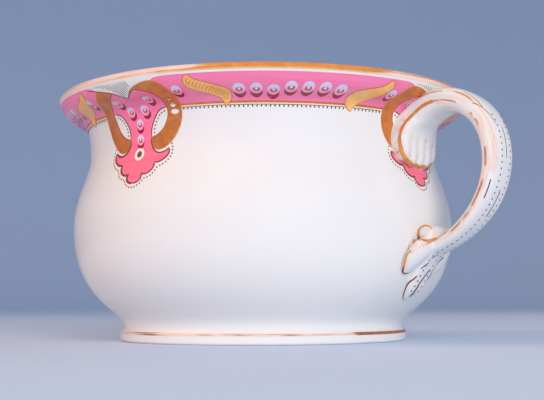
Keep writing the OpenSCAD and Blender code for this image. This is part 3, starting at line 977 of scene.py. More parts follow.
# %% Outlines of one pendant
PENDANTS = [0.0, 90.0, 180.0, -91.6]
MIDDLES = [45.0, 135.0, -135.8, -45.3]
NOTCH = (0, 12.3)
shield_top = smooth([NOTCH, (2.6, 9.6), (5.2, 7.2), (9, 5.7), (14, 5.4), (18.5, 7.5), (21, 11.5),
                     (21.8, 16), (21, 20.6)])
window_side = smooth([(18.7, 20.9), (15.7, 21.4), (13.1, 22.7), (10.6, 25.5), (8.5, 29.2), (7.6, 32.3),
                      (7.6, 35.0)])
under_strap = smooth([(7.6, 35.0), (7.5, 37.2), (8.5, 40.0), (10.6, 42.5), (13.5, 43.5), (16.8, 42.8),
                      (18.9, 41.2)])
lobe_out_line = smooth([(18.9, 41.2), (19.4, 43.2), (18.6, 45.4), (16.4, 47.3), (13.7, 48.5),
                        (11.2, 48.4)])
lobe_side_line = smooth([(11.2, 48.4), (11.6, 50.3), (10.4, 52.7), (8.2, 54.2), (6.1, 54.6),
                         (4.3, 53.8)])
lobe_foot_line = smooth([(4.3, 53.8), (5.0, 55.6), (4.3, 57.5), (2.4, 58.8), (0, 59.2)])
shield_foot = joined(lobe_out_line, lobe_side_line, lobe_foot_line)
half_shield = np.concatenate([shield_top, window_side, under_strap[1:], shield_foot[1:]])
shield = np.concatenate([half_shield, mirrored(half_shield)[1:-1]])
strap_foot = [(25.0, 31.2), (23.2, 34.5), (20.9, 37.3), (18.3, 39.6), (15.7, 41.2), (13.0, 41.9),
              (10.5, 41.2), (8.7, 39.3), (7.8, 37.2), (7.8, 35.0)]
strap_curl = [(7.8, 35.0), (10.5, 34.5), (13.1, 33.1), (15.6, 30.9), (17.4, 28)]
strap_outer = smooth([(2.4, 9.6), (5.2, 6.5), (8.7, 4.7), (12.2, 3.5), (15.7, 2.9), (18.6, 3.2),
                      (21.2, 4.5), (23.5, 6.8), (24.9, 9.4), (25.7, 12.5), (26.2, 16), (26.5, 20),
                      (26.7, 24), (26.2, 27.6)] + strap_foot)
strap_inner = smooth(strap_curl + [(18.5, 25), (18.8, 22), (18.3, 19.8), (17.6, 17.6), (17.1, 15),
                                   (16.3, 12.4), (14.6, 9.9), (12.0, 8.0), (8.7, 7.0), (5.2, 7.6),
                                   (2.4, 9.6)])
slipped_outer = smooth([(16.2, 3.9), (19.1, 7.1), (22.2, 10.7), (25.4, 14.8), (27.2, 18.6),
                        (27.6, 22.5), (26.9, 26.5)] + strap_foot)
slipped_inner = smooth(strap_curl + [(18.9, 24.5), (19.5, 21), (18.2, 17.9), (15.2, 14.4),
                                     (11.9, 11.2), (9.2, 9.0), (6.5, 7.0)])
straps = [(p, strap_outer, strap_inner) for p in PENDANTS]
straps += [(p, mirrored(strap_outer), mirrored(strap_inner)) for p in PENDANTS[:3]]
straps += [(PENDANTS[3], mirrored(slipped_outer), mirrored(slipped_inner))]
print("pendant is", np.ptp(shield, axis=0).round(1), "mm wide and high")

# %% [markdown]
# The band runs from strap to strap. On it lie two gilt ribbons, one ribbed and one plain, on either
# side of a row of studs. One ring right round the pot would be simpler, but the ground between the
# arches of two straps is white, so each quarter of the band has its own outline.

# %% Band and ribbons
BAND_TOP, BAND_LOW = 1.2, 20.0
# How far the band's corners lie inside its ends, at its top, its middle and its foot.
TOP_IN, MIDDLE_IN, LOW_IN = 23.5, 20.5, 24.0
BAND_MIDDLE = 11
ribbed_upper = smooth([(47.6, 4.6), (46.7, 2.6), (45.0, 1.9), (43.0, 3.7), (38.2, 5.9), (33.3, 8.0),
                       (29.3, 10.2), (27.6, 12.4), (27.1, 15.7), (27.9, 19.3), (30.5, 22.7)])
ribbed_lower = smooth([(30.5, 22.7), (32.0, 19.4), (33.6, 17.5), (37.2, 15.0), (42.9, 11.2),
                       (45.9, 8.9), (47.3, 6.8), (47.6, 4.6)])
plain_upper = smooth([(46.9, 1.7), (45.7, 3.2), (43.6, 5.2), (40.3, 6.8), (35.6, 8.5), (31.2, 10.5),
                      (29.4, 13.0), (28.6, 16.9), (28.8, 19.9), (30.4, 22.4), (32.6, 24.1)])
plain_lower = smooth([(32.6, 24.1), (33.5, 22.1), (35.8, 19.8), (40.1, 17.0), (43.6, 13.7),
                      (47.6, 8.5), (48.9, 5.4), (48.2, 3.0), (46.9, 1.7)])
ribbons = [mirrored(np.concatenate([ribbed_upper, ribbed_lower[1:-1]])),
           np.concatenate([plain_upper, plain_lower[1:-1]])]


def span_of(quarter):
    """The band's two ends around its own middle, under the straps of its two neighbours."""
    gaps = [((p - MIDDLES[quarter] + 180) % 360) - 180 for p in PENDANTS]
    start = max(gap for gap in gaps if gap < 0)
    end = min(gap for gap in gaps if gap > 0)
    return math.radians(start) * PATTERN_R, math.radians(end) * PATTERN_R


def level_path(first, last, step, down):
    """A level path, a length down from the lip."""
    xs = np.arange(first, last, step)
    return np.stack([xs, np.full(len(xs), down)], 1)


def band_outline(quarter):
    start, end = span_of(quarter)
    shoulder = smooth([(-16.5, 4.0), (-19.5, 1.9), (-TOP_IN, BAND_TOP)])
    top = level_path(start + TOP_IN, end - TOP_IN, FILM_GRID, BAND_TOP)
    low = level_path(end - LOW_IN, start + LOW_IN, -FILM_GRID, BAND_LOW)
    return np.concatenate([shoulder[:-1] * (-1, 1) + (start, 0), top[1:-1],
                           shoulder[::-1] + (end, 0), [(end - MIDDLE_IN, BAND_MIDDLE)],
                           low, [(start + MIDDLE_IN, BAND_MIDDLE)]])


rose_marks = [(patch(shield), p) for p in PENDANTS]
rose_marks += [(patch(band_outline(q)), MIDDLES[q]) for q in range(4)]
film("rose_enamel_band", rose_marks, rose, "rose_enamel", lift=0.03)
strap_marks = [(patch(np.concatenate([outer_edge, inner_edge])), p)
               for p, outer_edge, inner_edge in straps]
film("gilt_straps", strap_marks, gilt_strap, "gilding", lift=0.07)
ribbon_marks = [(patch(ribbon), m) for ribbon in ribbons for m in MIDDLES]
film("gilt_ribbons", ribbon_marks, gilt_ribbon, "gilding", lift=0.13)

# %% [markdown]
# ## Studs and eyelets
#
# The studs are painted to look like round nail heads: a crimson shadow below, a salmon ring that
# turns to lilac at its top, a deep pink middle with a white glint and a blue-white light. Seven stand
# in a row on the band, not quite level, one stands beside each strap, and six lie on each pendant.
# Half a sphere could make a stud, but the real ones are flat, so each colour is a film over the one
# before, as it was printed. A stud is a middle, a place on the flat, a width and a height as shares
# of the largest stud, and a lean.

# %% Studs
STUD_STEP, STUD_ROW = 7.73, 11.1
ROW_SLIPS = (0.4, 0.4, 1.4, -0.8, -0.8, -0.9, -0.1)
studs = [(m, (i - 3) * STUD_STEP, STUD_ROW + slip, 1.0, 1.0, 0.0)
         for m in MIDDLES for i, slip in enumerate(ROW_SLIPS)]
studs += [(p, side * 28.7, 10.4, 0.86, 0.85, 0.0) for p in PENDANTS for side in (-1, 1)]
for p in PENDANTS:
    studs += [(p, side * 10.3, 15.0, 0.9, 0.68, 0.5) for side in (-1, 1)]
    studs += [(p, side * 4.9, 21.3, 0.9, 0.68, 0.4) for side in (-1, 1)]
    studs += [(p, 0.0, 28.2, 0.82, 0.66, 0.1), (p, 0.0, 36.0, 0.82, 0.66, 0.1)]


def stud_part(half_w, half_h, down):
    """The same oval of every stud, some way down from its middle, and aside where the stud leans."""
    return [(dot(x + lean * down * tall, y + down * tall, half_w * wide, half_h * tall, 24, 4), m)
            for m, x, y, wide, tall, lean in studs]


for name, half_w, half_h, down, ink, slot, lift in (
        ("stud_shadows", 2.9, 4.1, 2.8, crimson_ink, "dark_print", 0.07),
        ("stud_rings", 2.9, 4.2, 0.0, blush_ink, "rose_enamel", 0.09),
        ("stud_ring_tops", 2.75, 3.2, -0.95, lilac_ink, "rose_enamel", 0.11),
        ("stud_cores", 1.8, 1.8, 0.45, core_ink, "dark_print", 0.13),
        ("stud_lights", 1.7, 1.4, -2.3, sky_ink, "glazed_earthenware", 0.13),
        ("stud_glints", 0.6, 0.8, -0.15, white_ink, "glazed_earthenware", 0.15)):
    film(name, stud_part(half_w, half_h, down), ink, slot, lift)

# %% [markdown]
# White shows as a light along the foot of each strap and as three white spots on one of them. An eyelet
# under the studs is a white ring round a brown hole. Both could be holes in the films below, but white
# marks on top of those are simpler and look the same.

# %% Lights on the straps, and eyelets
EYELET = (0, 43.4)
strap_light = smooth([(12.4, 42.4), (14.6, 42.3), (16.6, 41.6), (18.2, 40.5)])
light_marks = [(stroke(path, 0.9, taper=0.3), p)
               for p in PENDANTS for path in (strap_light, mirrored(strap_light))]
white_spots = [dot(21.4, 16.8, 0.9, 0.6), dot(22.4, 20.2, 1.4, 1.1, 16, 2),
              dot(22.9, 23.6, 2.2, 1.2, 16, 3)]
light_marks += [(spot, PENDANTS[3]) for spot in white_spots]
film("strap_lights", light_marks, white_ink, "glazed_earthenware", lift=0.1)
eyelet_rings = [(dot(*EYELET, 3.3, 3.3, 28, 3), p) for p in PENDANTS]
film("eyelet_rings", eyelet_rings, white_ink, "glazed_earthenware", lift=0.07)
eyelet_holes = [(dot(*EYELET, 1.7, 1.75, 20, 2), p) for p in PENDANTS]
film("eyelet_holes", eyelet_holes, brown_ink, "dark_print", lift=0.1)

# %% [markdown]
# ## Outlines, ribs, hatching and dots
#
# A fine brown outline edges every form, as on an engraved print, and the straps have a thin gold rim
# outside. Blender's line art could find edges by itself, but it draws them for one camera. These
# strokes reuse the paths that the patches were filled from, so they stay on the edges.

# %% Printed outlines
shield_paths = [under_strap, lobe_out_line, lobe_side_line, lobe_foot_line]
fine_paths = [window_side, smooth([NOTCH, (2.6, 9.7), (5.2, 7.4)])]
OUTLINE_W, LEFT_OUTLINE_W, FINE_W, OUTLINE_TAPER = 0.75, 1.1, 0.6, 0.08
slip_line = smooth([(-23.0, 2.2), (-16.2, 3.9), (-6.5, 7.0), (0.0, 11.8)])


def band_strokes(down, width):
    """A level line under the band in every quarter, from strap to strap."""
    marks = []
    for quarter, middle in enumerate(MIDDLES):
        start, end = span_of(quarter)
        marks.append((stroke(level_path(start + 26.6, end - 26.5, 1.5, down), width), middle))
    return marks


brown_marks = []
for p in PENDANTS:
    for path in shield_paths:
        brown_marks += [(stroke(path, OUTLINE_W, OUTLINE_TAPER), p),
                        (stroke(mirrored(path), LEFT_OUTLINE_W, OUTLINE_TAPER), p)]
    for path in fine_paths:
        brown_marks += [(stroke(path, FINE_W, OUTLINE_TAPER), p),
                        (stroke(mirrored(path), FINE_W, OUTLINE_TAPER), p)]
brown_marks += [(stroke(inner_edge, 0.3, taper=0.04), p) for p, outer_edge, inner_edge in straps]
brown_marks.append((stroke(slip_line, 0.5, taper=0.1), PENDANTS[3]))
brown_marks += band_strokes(down=21.9, width=0.3)
film("printed_outlines", brown_marks, brown_ink, "dark_print", lift=0.11)
rim_marks = [(stroke(outer_edge, 0.45, taper=0.04), p) for p, outer_edge, inner_edge in straps]
film("strap_rims", rim_marks, gilt_edge, "gilding", lift=0.11)

# %% [markdown]
# Short curved ribs cross one ribbon of each pair, both ribbons have a thin dark edge, and a gold line
# runs under the band. Stripes in the material would be quicker, but they wouldn't turn with the
# ribbon, so each rib is a stroke from its upper edge towards its lower one.

# %% Ribs and the band's gold line
RIBS = 15
rib_marks = [(stroke(np.concatenate([ribbon, ribbon[:1]]), 0.32), m)
             for ribbon in ribbons for m in MIDDLES]
for share in np.linspace(0.14, 0.86, RIBS):
    upper = ribbed_upper[int(share * (len(ribbed_upper) - 1))]
    lower = ribbed_lower[int((1 - share) * (len(ribbed_lower) - 1))]
    rib_start, rib_end = mix(upper, lower, 0.22), mix(upper, lower, 0.72)
    bulge = 0.35 * np.array([rib_end[1] - rib_start[1], rib_start[0] - rib_end[0]])
    rib = cubic([rib_start, rib_start + bulge, rib_end + bulge, rib_end], 8) * (-1, 1)
    rib_marks += [(stroke(rib, 0.35, taper=0.2), m) for m in MIDDLES]
film("ribbon_ribs", rib_marks, gilt_strap, "gilding", lift=0.16)
film("band_line", band_strokes(down=20.5, width=1.1), gilt_strap, "gilding", lift=0.05)

# %% [markdown]
# Small dots run in rows under the band and round the pendants, and a cream line lies under some of
# them. Instances on a curve could set them out, but a film of dots is one mesh that exports as it is.
# They are spaced by the length along their path, so that they don't crowd where it turns.

# %% Rows of dots
DOT_ROW, DOT_STEP, FINE_DOT_STEP = 22.6, 2.2, 1.75
foot_dots = smooth([(20.4, 39.2), (21.1, 41.4), (21.2, 43.6), (20.7, 45.7), (19.6, 47.4), (18.0, 49.0),
                    (16.2, 50.1), (14.4, 50.8), (13.3, 51.8), (12.5, 53.4), (11.1, 55.1), (9.6, 56.1),
                    (7.9, 56.7), (6.4, 57.2), (5.4, 58.9), (3.5, 60.4), (1.7, 61.2), (0, 61.4)])
window_dots = smooth([(16.6, 22.9), (13.9, 24.2), (11.9, 26.5), (10.4, 29.2), (9.7, 31.3), (9.5, 33.0)])
band_dots = []
for quarter, middle in enumerate(MIDDLES):
    start, end = span_of(quarter)
    band_dots += [(dot(x, DOT_ROW, 0.38, 0.6, 8), middle)
                  for x in np.arange(start + 28, end - 27.5, DOT_STEP)]
edge_dots = []
for p in PENDANTS:
    for path in (foot_dots, window_dots):
        for x, y in along(path, FINE_DOT_STEP):
            edge_dots += [(dot(side * x, y, 0.48, 0.48, 8), p) for side in (-1, 1)]
cream_marks = band_strokes(down=21.4, width=0.9)
cream_marks += [(stroke(mirrored(foot_dots), 0.9, taper=0.05), p) for p in PENDANTS]
film("cream_lines", cream_marks, cream_ink, "gilding", lift=0.035)
film("band_dots", band_dots, black_ink, "dark_print", lift=0.05)
film("pendant_dots", edge_dots, brown_ink, "dark_print", lift=0.05)

# %% [markdown]
# The white ground over each notch carries fine slanting dark lines. A striped material could draw them
# too, but its stripes couldn't taper, and these also stop short of the straps.

# %% Hatching over the notches
HATCH_FROM, HATCH_TO = -17.5, 4.5
HATCH_STEP, HATCH_LEAN, HATCH_TOP, HATCH_GAP = 1.35, 0.5, 1.3, 0.7
strap_crest = strap_outer[:, 1].argmin()
ground_low = np.concatenate([[NOTCH], strap_outer[:strap_crest + 1]])
hatch_marks = []
for x in np.arange(HATCH_FROM, HATCH_TO, HATCH_STEP):
    ys = np.arange(HATCH_TOP, 12, 0.25)
    xs = x + HATCH_LEAN * (ys - HATCH_TOP)
    clear = ys < np.interp(np.abs(xs), ground_low[:, 0], ground_low[:, 1]) - HATCH_GAP
    count = int(np.argmin(clear))
    if count > 3:
        line = np.stack([xs[:count], ys[:count]], 1)
        hatch_marks += [(stroke(line, 0.28, taper=0.2), p) for p in PENDANTS]
film("slanting_lines_over_notches", hatch_marks, black_ink, "dark_print", lift=0.05)

# %% [markdown]
# ## Gilt lip and foot line
#
# A gilder holds the brush still and turns the pot, so these lines are plain rings. Another material
# on some faces of the bowl could show them, but a ring of its own can end between the bowl's points.
# They are worn, the lip's most of all at the sides, where hands took hold of it.

# %% Lip and foot gilding
AROUND = 241
LIP_ROWS, FOOT_ROWS = 13, 4
ring_x = np.linspace(-math.pi, math.pi, AROUND) * PATTERN_R
lip_flat = np.array([(x, s) for s in np.linspace(-5.8, 0.1, LIP_ROWS) for x in ring_x])
lip_mark = (lip_flat, grid_faces(LIP_ROWS, AROUND))
film("lip_gilding", [(lip_mark, 0.0)], gilt_lip, "gilding", lift=0.04)

foot_heights = np.linspace(4.4, 6.0, FOOT_ROWS)
foot_radius = np.interp(foot_heights, foot_line[:, 1], foot_line[:, 0]) + 0.05
foot_points = [(r * math.cos(x / PATTERN_R), r * math.sin(x / PATTERN_R), z)
               for z, r in zip(foot_heights, foot_radius) for x in ring_x]
make_piece("foot_gilding", foot_points, grid_faces(FOOT_ROWS, AROUND), gilt_foot, "gilding")

# %% [markdown]
# ## Lines on the handle
#
# A worn gilt line edges the strap on both sides and runs on round the leaf and the lobes. Along the
# strap's back run short middle lines and two rows of dots. The handle can't be laid out flat, so each
# path is given near the clay and then pressed onto the handle's smooth skin. The Shrinkwrap modifier
# could press it too, but here the same search gives the normal to shade the mark with.

# %% Marks on the handle
HANDLE_LIFT = 0.06


def pressed(point, lift):
    """The nearest place on the handle's skin, lifted off it, and the skin's normal there."""
    place, normal = handle_tree.find_nearest(Vector(point))[:2]
    return np.array(place) + lift * np.array(normal), np.array(normal)


def smooth_path(points, rounds=6):
    """Takes the small kinks out of a path of close points."""
    path = np.asarray(points, float)
    for _ in range(rounds):
        path[1:-1] = (path[:-2] + 2 * path[1:-1] + path[2:]) / 4
    return path


def handle_stroke(path, width, rows=5):
    """A ribbon on the handle's skin, with rows of points across it so that it bends over edges."""
    path = np.asarray(path, float)
    widths = np.broadcast_to(width, len(path))
    middles = [pressed(p, 0) for p in path]
    run = unit(np.gradient(np.array([place for place, normal in middles]), axis=0))
    tops, outs = [], []
    for share in np.linspace(-0.5, 0.5, rows):
        for (place, normal), ahead, wide in zip(middles, run, widths):
            aside = unit(np.cross(ahead, normal))
            top, out = pressed(place + share * wide * aside, HANDLE_LIFT)
            tops.append(top)
            outs.append(out)
    return np.array(tops), np.array(outs), grid_faces(rows, len(path))


def handle_dot(point, radius, corners=8):
    middle, normal = pressed(point, 0)
    wide = unit(np.cross(normal, (0.3, 0.9, 0.1)))
    deep = np.cross(normal, wide)
    rim = [middle + radius * (math.cos(a) * wide + math.sin(a) * deep) for a in full_turn(corners)]
    placed = [pressed(p, HANDLE_LIFT) for p in rim + [middle]]
    return (np.array([p for p, n in placed]), np.array([n for p, n in placed]),
            [[i, (i + 1) % corners, corners] for i in range(corners)])


print("marks on the handle lie", HANDLE_LIFT, "mm over its skin")

# %% [markdown]
# The paths follow the strap's back, its two edges, the rim of the upper leaf and the edges of the
# lobes. They could be drawn freely over the handle, but given by stations on the strap and by shares
# of the leaf, they move with the clay.

# %% Paths on the handle
STATIONS = len(strap_line)
LOBE_EDGE = 6


def on_back(first, last, *distances):
    """A path along the strap's back, through evenly spread distances off its middle line."""
    path = []
    offs = np.interp(np.linspace(0, 1, last - first), np.linspace(0, 1, len(distances)), distances)
    for i, y in zip(range(first, last), offs):
        share = y / strap_half_w[i]
        path.append(strap_point(i, share, -strap_half_t[i] * oblong(share)))
    return path


def on_edge(side, first, last, depth=0.2):
    """A path along one of the strap's edges; depth is a share of its half thickness, inwards."""
    return [strap_point(i, 0.99 * side, depth * strap_half_t[i]) for i in range(first, last)]


def leaf_edge(side, face):
    """The way round half of the upper leaf, from its tip over its scallops and up its side."""
    rim = [leaf_point(side * s, 0.03, face) for s in np.linspace(0.0, 0.97, 34)]
    return np.array(rim + [leaf_point(side * 0.995, v, face) for v in np.linspace(0.06, 0.92, 40)])


def lobe_edge(side, first, last):
    """A side lobe's outer edge: from the lobe's crown it swings out, and in again at its end."""
    rings = lobe_rings(side)
    turns = np.interp(range(first, last), (5, 11, 18, 24, 28), (2, 5, 8, 6, LOBE_EDGE)).round()
    return [rings[i][side * int(k)] for i, k in zip(range(first, last), turns)]


def lobe_end(side):
    """The way round the end of a side lobe, from its outer edge to its inner one."""
    last_ring = lobe_rings(side)[LOBE_STEPS - 2]
    return [last_ring[side * k] for k in range(LOBE_EDGE, -LOBE_EDGE - 1, -2)]


def swelling(path, places, widths):
    """The width of a stroke at each point of its path, from widths at some of them."""
    return np.interp(np.arange(len(path)), places, widths)


print("the strap has", STATIONS, "stations")

# %% [markdown]
# Bright gold lies round the leaf, on the scroll's ends and on the lobes' lower edges. On the strap's
# edges and on the buds it is worn to a trace. Brown and black strokes were added with a fine brush,
# and only the tail's black ones differ from one side to the other. One width for all would be
# simpler, but a loaded brush swells and thins, so the main strokes have widths along their way.

# %% Gilt and dark lines on the handle
TAIL_TURN = 102
bright_paths, worn_paths, brown_paths, dark_paths = [], [], [], []
for side in (-1, 1):
    leaf_way = smooth_path(np.concatenate([leaf_edge(side, 1), on_edge(side, 2, 10)]))
    bright_paths.append((leaf_way, swelling(leaf_way, (0, 28, 40, 60, 74), (2.2, 2.6, 1.5, 1.4, 1.8))))
    roll = [scroll_mid + (1.0 + 4.5 * math.cos(a), side * (SCROLL_LEN / 2 - 0.5), 3.7 * math.sin(a))
            for a in np.radians(np.linspace(35, 225, 28))]
    bright_paths.append((roll, swelling(roll, (0, 18, 27), (0.6, 2.0, 1.6))))
    rings = lobe_rings(side)
    crown = [rings[i][side * k] for i, k in ((9, 9), (8, 7), (7, 5), (5, 3), (2, 2))]
    under_scroll = smooth(crown + [strap_point(81, 0.8 * side, 2.2), strap_point(78, 0.9 * side, 1.7)])
    last = len(under_scroll) - 1
    bright_paths.append((under_scroll, swelling(under_scroll, (0, last / 2, last), (0.9, 1.9, 1.0))))
    lobe_way = smooth_path(lobe_edge(side, 5, 26), 3)
    worn_paths.append((lobe_way[:11], 1.2))
    bright_paths.append((lobe_way[10:], swelling(lobe_way[10:], (0, 6, 10), (0.7, 1.3, 1.2))))
    bud_low, bud_high = bud_ends(side)
    bud_way = [mix(bud_low, bud_high, s) + (1.2, side * 1.6, 0) for s in np.linspace(0.2, 1, 8)]
    worn_paths.append((bud_way, 2.0))
    worn_paths += [(on_edge(side, 9, 21), 0.7), (on_edge(side, 28, 80), 1.1),
                   (on_edge(side, 3, 14, -0.6), 0.7)]
    tail_edge = []
    for i in range(TAIL_TURN, STATIONS):
        out = min((i - TAIL_TURN) / 5, 1)
        tail_edge.append(strap_point(i, side * mix(0.8, 0.99, out), mix(-0.8, 0, out) * strap_half_t[i]))
    brown_paths.append((smooth_path(tail_edge, 8), np.linspace(0.9, 0.7, len(tail_edge))))
    brown_paths += [(on_back(26, 36, 10.7 * side, 5.6 * side), 0.45),
                    (on_back(20, 30, 8.3 * side, 8.5 * side), 0.3)]
    dark_paths.append((on_back(54, 62, 10.2 * side, 10.2 * side), 0.6))
tip = STATIONS - 1
tip_way = [strap_point(tip, s, -0.2 * strap_half_t[tip]) for s in np.linspace(-0.95, 0.2, 8)]
dark_paths += [(smooth_path(lobe_edge(-1, 24, 29) + lobe_end(-1), 2), 0.9),
               (on_back(36, 46, 0, 0), 0.5),
               (on_back(57, 68, 0, 0), 0.7),
               (on_back(98, 114, 1.3, -0.2, -1.7, -1.9, -0.4), np.linspace(0.9, 1.6, 16)),
               (on_back(90, 105, 8.6, 6.6, 5.2), np.linspace(0.7, 1.3, 15)),
               (on_back(87, 92, -1.0, -3.8), 0.6),
               (on_back(94, 99, -3.6, -6.8), 0.7),
               (tip_way, 1.0)]
for name, paths, material, slot in (
        ("leaf_and_scroll_gilding", bright_paths, gilt_edge, "gilding"),
        ("strap_edge_gilding", worn_paths, gilt_trace, "gilding"),
        ("handle_brown_lines", brown_paths, brown_ink, "dark_print"),
        ("handle_lines", dark_paths, black_ink, "dark_print")):
    film_piece(name, [handle_stroke(*mark) for mark in paths], material, slot)

# %% [markdown]
# Two rows of dots run down the strap's back from the arch to the tail, and they drift a little to one
# side, as a hand sets them. A dotted material would need a flat strap. Here each dot is set off by
# the length along its row and pressed onto the skin by itself.

# %% Rows of dots on the strap's back
HANDLE_DOT_R, HANDLE_DOT_STEP = 0.52, 3.1
dot_rows = []
for side in (-1, 1):
    row = np.array(on_back(32, STATIONS - 6, 4.7 * side, 3.3 * side - 1.1))
    length = run_length(row)
    for at in np.arange(0, length[-1], HANDLE_DOT_STEP):
        dot_rows.append(handle_dot([np.interp(at, length, row[:, k]) for k in range(3)], HANDLE_DOT_R))
film_piece("handle_dots", dot_rows, black_ink, "dark_print")

# %% [markdown]
# Gold was rubbed off beside these lines and over the shoulders of the arch, and the same peach tint runs
# along the bottoms of the leaf's flutes.
# Each point of the handle's clay gets a value from 0 to 1 for how near it lies to such a place, and
# its place along and across the strap, counted in lengths and widths of a streak. The values could be
# painted with a brush, but worked out like this they follow the lines.

# %% Rubbed places on the handle
FLUTES = (-0.6, -0.2, 0.2, 0.6)
STREAK_LEN, STREAK_W = 12.0, 1.5


def search_tree(places):
    tree = KDTree(len(places))
    for i, place in enumerate(places):
        tree.insert(place, i)
    tree.balance()
    return tree


gold_lines = [p for path, width in bright_paths + worn_paths for p in path]
flute_lines = [leaf_point(s, v, 1) for s in FLUTES for v in np.linspace(0.1, 0.5, 20)]
shoulders = [p for side in (-1, 1) for p in on_edge(side, 8, 50, -0.6)]
flanks = [p for side in (-1, 1) for p in mix(leaf_edge(side, 1), leaf_edge(side, -1), 0.4)[20:66]]
rubbed_trees = [(search_tree(places), reach) for places, reach in
                ((gold_lines, 2.2), (flute_lines, 0.8), (shoulders, 3.2), (flanks, 2.0))]
strap_tree = search_tree([(x, 0, z) for x, z in strap_line])
strap_run = unit(np.gradient(strap_line, axis=0))
strap_length = run_length(strap_line)
for piece in handle_pieces:
    nearness, streak_places = [], []
    for vertex in piece.data.vertices:
        x, y, z = vertex.co / MM
        nearness.append(max(math.exp(-(tree.find((x, y, z))[2] / reach) ** 2)
                            for tree, reach in rubbed_trees))
        i = strap_tree.find((x, 0, z))[1]
        off = np.array([x, z]) - strap_line[i]
        streak_places += [(strap_length[i] + off @ strap_run[i]) / STREAK_LEN, y / STREAK_W,
                          off @ strap_front[i] / STREAK_W]
    rubbed_values = piece.data.attributes.new("rubbed", "FLOAT", "POINT")
    rubbed_values.data.foreach_set("value", nearness)
    streak_values = piece.data.attributes.new("lengthways", "FLOAT_VECTOR", "POINT")
    streak_values.data.foreach_set("vector", streak_places)
print("stained the clay of", len(handle_pieces), "pieces")

# %% [markdown]
# ## Floor, light and camera
#
# The pot stands in a round cove of matt, pale blue paper. A flat plane would do as a floor, but its
# edge would show, and in a cove the floor bends up into the wall. Paper scatters light evenly and has
# no highlight, and its colour comes back on the lower belly. Its fibres are finer in truth, and they
# are drawn at about 4 mm so that they show.

# %% Paper cove
FLOOR_R, COVE_R, WALL_TOP = 2200.0, 1000.0, 3600.0
FIRST_TURN = 0.1


def matt_paper(name):
    material, tree, shader, place = new_material(name)
    fibre = add_node(tree, "TexNoise", {"Vector": place, "Scale": 1 / (4 * MM), "Detail": 5.0})
    pulp = add_node(tree, "Mix", {
        0: fibre.outputs["Fac"], 6: linear("#cddef9"), 7: linear("#d5e4fb")}, data_type="RGBA")
    tree.links.new(pulp.outputs[2], shader.inputs["Base Color"])
    shader.inputs["Roughness"].default_value = 0.9
    return material


cove_bend = arc((FLOOR_R, COVE_R), COVE_R, FIRST_TURN - math.pi / 2, 0, 13)
cove_line = np.concatenate([[(0.0, 0.0), (400.0, 0.0), (FLOOR_R, 0.0)], cove_bend,
                            [(FLOOR_R + COVE_R, WALL_TOP)]])
sheet = mesh_object("paper_cove", *lathe(cove_line, False, 96))
sheet.data.materials.append(matt_paper("matt_pale_blue_paper"))
print("the paper is", 2 * (FLOOR_R + COVE_R) * MM, "m wide")

# %% [markdown]
# Two broad soft lamps light the pot from the front and from the left, and a weaker one from behind. A
# low one has a blue cast, a small high one gives the glaze a glint to mirror, and an even sky
# fills the rest. One strong lamp could light it all, but the white glaze would clip and the shadow
# would be hard. A grid before each lamp keeps its light together, so that the floor near it stays
# below white.

# %% Lamps and sky
VIEW = math.radians(37.4)
LAMP_FAN = math.radians(100)
away = Vector((-math.sin(VIEW), math.cos(VIEW), 0))
right = Vector((math.cos(VIEW), math.sin(VIEW), 0))
up = Vector((0, 0, 1))
pot_middle = 0.07 * up


def soft_lamp(name, place, size, power, tint, mirrored_in_glaze=False):
    data = bpy.data.lights.new(name, "AREA")
    data.shape = "DISK"
    data.size = size
    data.energy = power
    data.spread = LAMP_FAN
    data.color = linear(tint)[:3]
    lamp = bpy.data.objects.new(name, data)
    bpy.context.collection.objects.link(lamp)
    lamp.location = place
    lamp.rotation_euler = (pot_middle - place).to_track_quat("-Z", "Y").to_euler()
    lamp.visible_glossy = mirrored_in_glaze
    print(name, "shines with", power, "W")


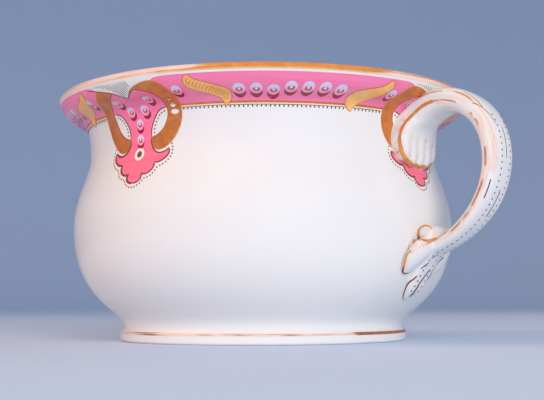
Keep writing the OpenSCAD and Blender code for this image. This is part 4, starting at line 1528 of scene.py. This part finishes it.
soft_lamp("front_lamp", 0.45 * right - 1.5 * away + 0.52 * up, size=1.1, power=6.15, tint="#fff5e8")
soft_lamp("side_lamp", -1.4 * right - 0.3 * away + 0.7 * up, size=1.2, power=4.0, tint="#ffcc9c")
soft_lamp("low_lamp", 0.2 * right - 1.3 * away + 0.08 * up, size=0.8, power=0.95, tint="#a2c4ff")
soft_lamp("back_lamp", 1.2 * right + 0.8 * away + 0.6 * up, size=1.0, power=1.4, tint="#ffecd6")
soft_lamp("glint_lamp", -0.9 * right - 1.1 * away + 1.6 * up,
          size=0.22, power=0.061, tint="#fffaf4", mirrored_in_glaze=True)
world = bpy.data.worlds.new("even_sky")
bpy.context.scene.world = world
world.use_nodes = True
sky = world.node_tree.nodes["Background"]
sky.inputs["Color"].default_value = linear("#f3f2f1")
sky.inputs["Strength"].default_value = 0.5
bpy.context.scene.view_settings.view_transform = "Standard"

# %% [markdown]
# The camera stands low, about 23 mm over the floor, and looks up a little, as it did for the photo.
# It could be placed by eye, but its focal length in pixels, its place and its small turns were fitted
# to the outlines of lip and foot, so that the two pictures can be compared.

# %% Camera
FOCAL_PX, FRAME_PX, SENSOR = 1061.26, 544, 36.0
CAMERA_OFF, CAMERA_UP = 0.60552, 0.02296
CAMERA_TURN, CAMERA_TILT, CAMERA_ROLL = -0.0087, 0.0928, -0.0037
camera_data = bpy.data.cameras.new("photo_camera")
camera_data.sensor_width = SENSOR
camera_data.lens = FOCAL_PX * SENSOR / FRAME_PX
camera_data.clip_start = 0.01
camera = bpy.data.objects.new("photo_camera", camera_data)
bpy.context.collection.objects.link(camera)
camera.matrix_world = (Matrix.Translation(CAMERA_UP * up - CAMERA_OFF * away)
                       @ Matrix.Rotation(VIEW + CAMERA_TURN, 4, "Z")
                       @ Matrix.Rotation(math.pi / 2 + CAMERA_TILT, 4, "X")
                       @ Matrix.Rotation(CAMERA_ROLL, 4, "Z"))
bpy.context.scene.camera = camera
print("camera at", [round(v, 3) for v in camera.location])

# %% [markdown]
# ## Size and finish
#
# The dressed pot has to keep the solid model's size. The last cell brings the scene up to date.

# %% Size and finish
bpy.context.view_layer.update()
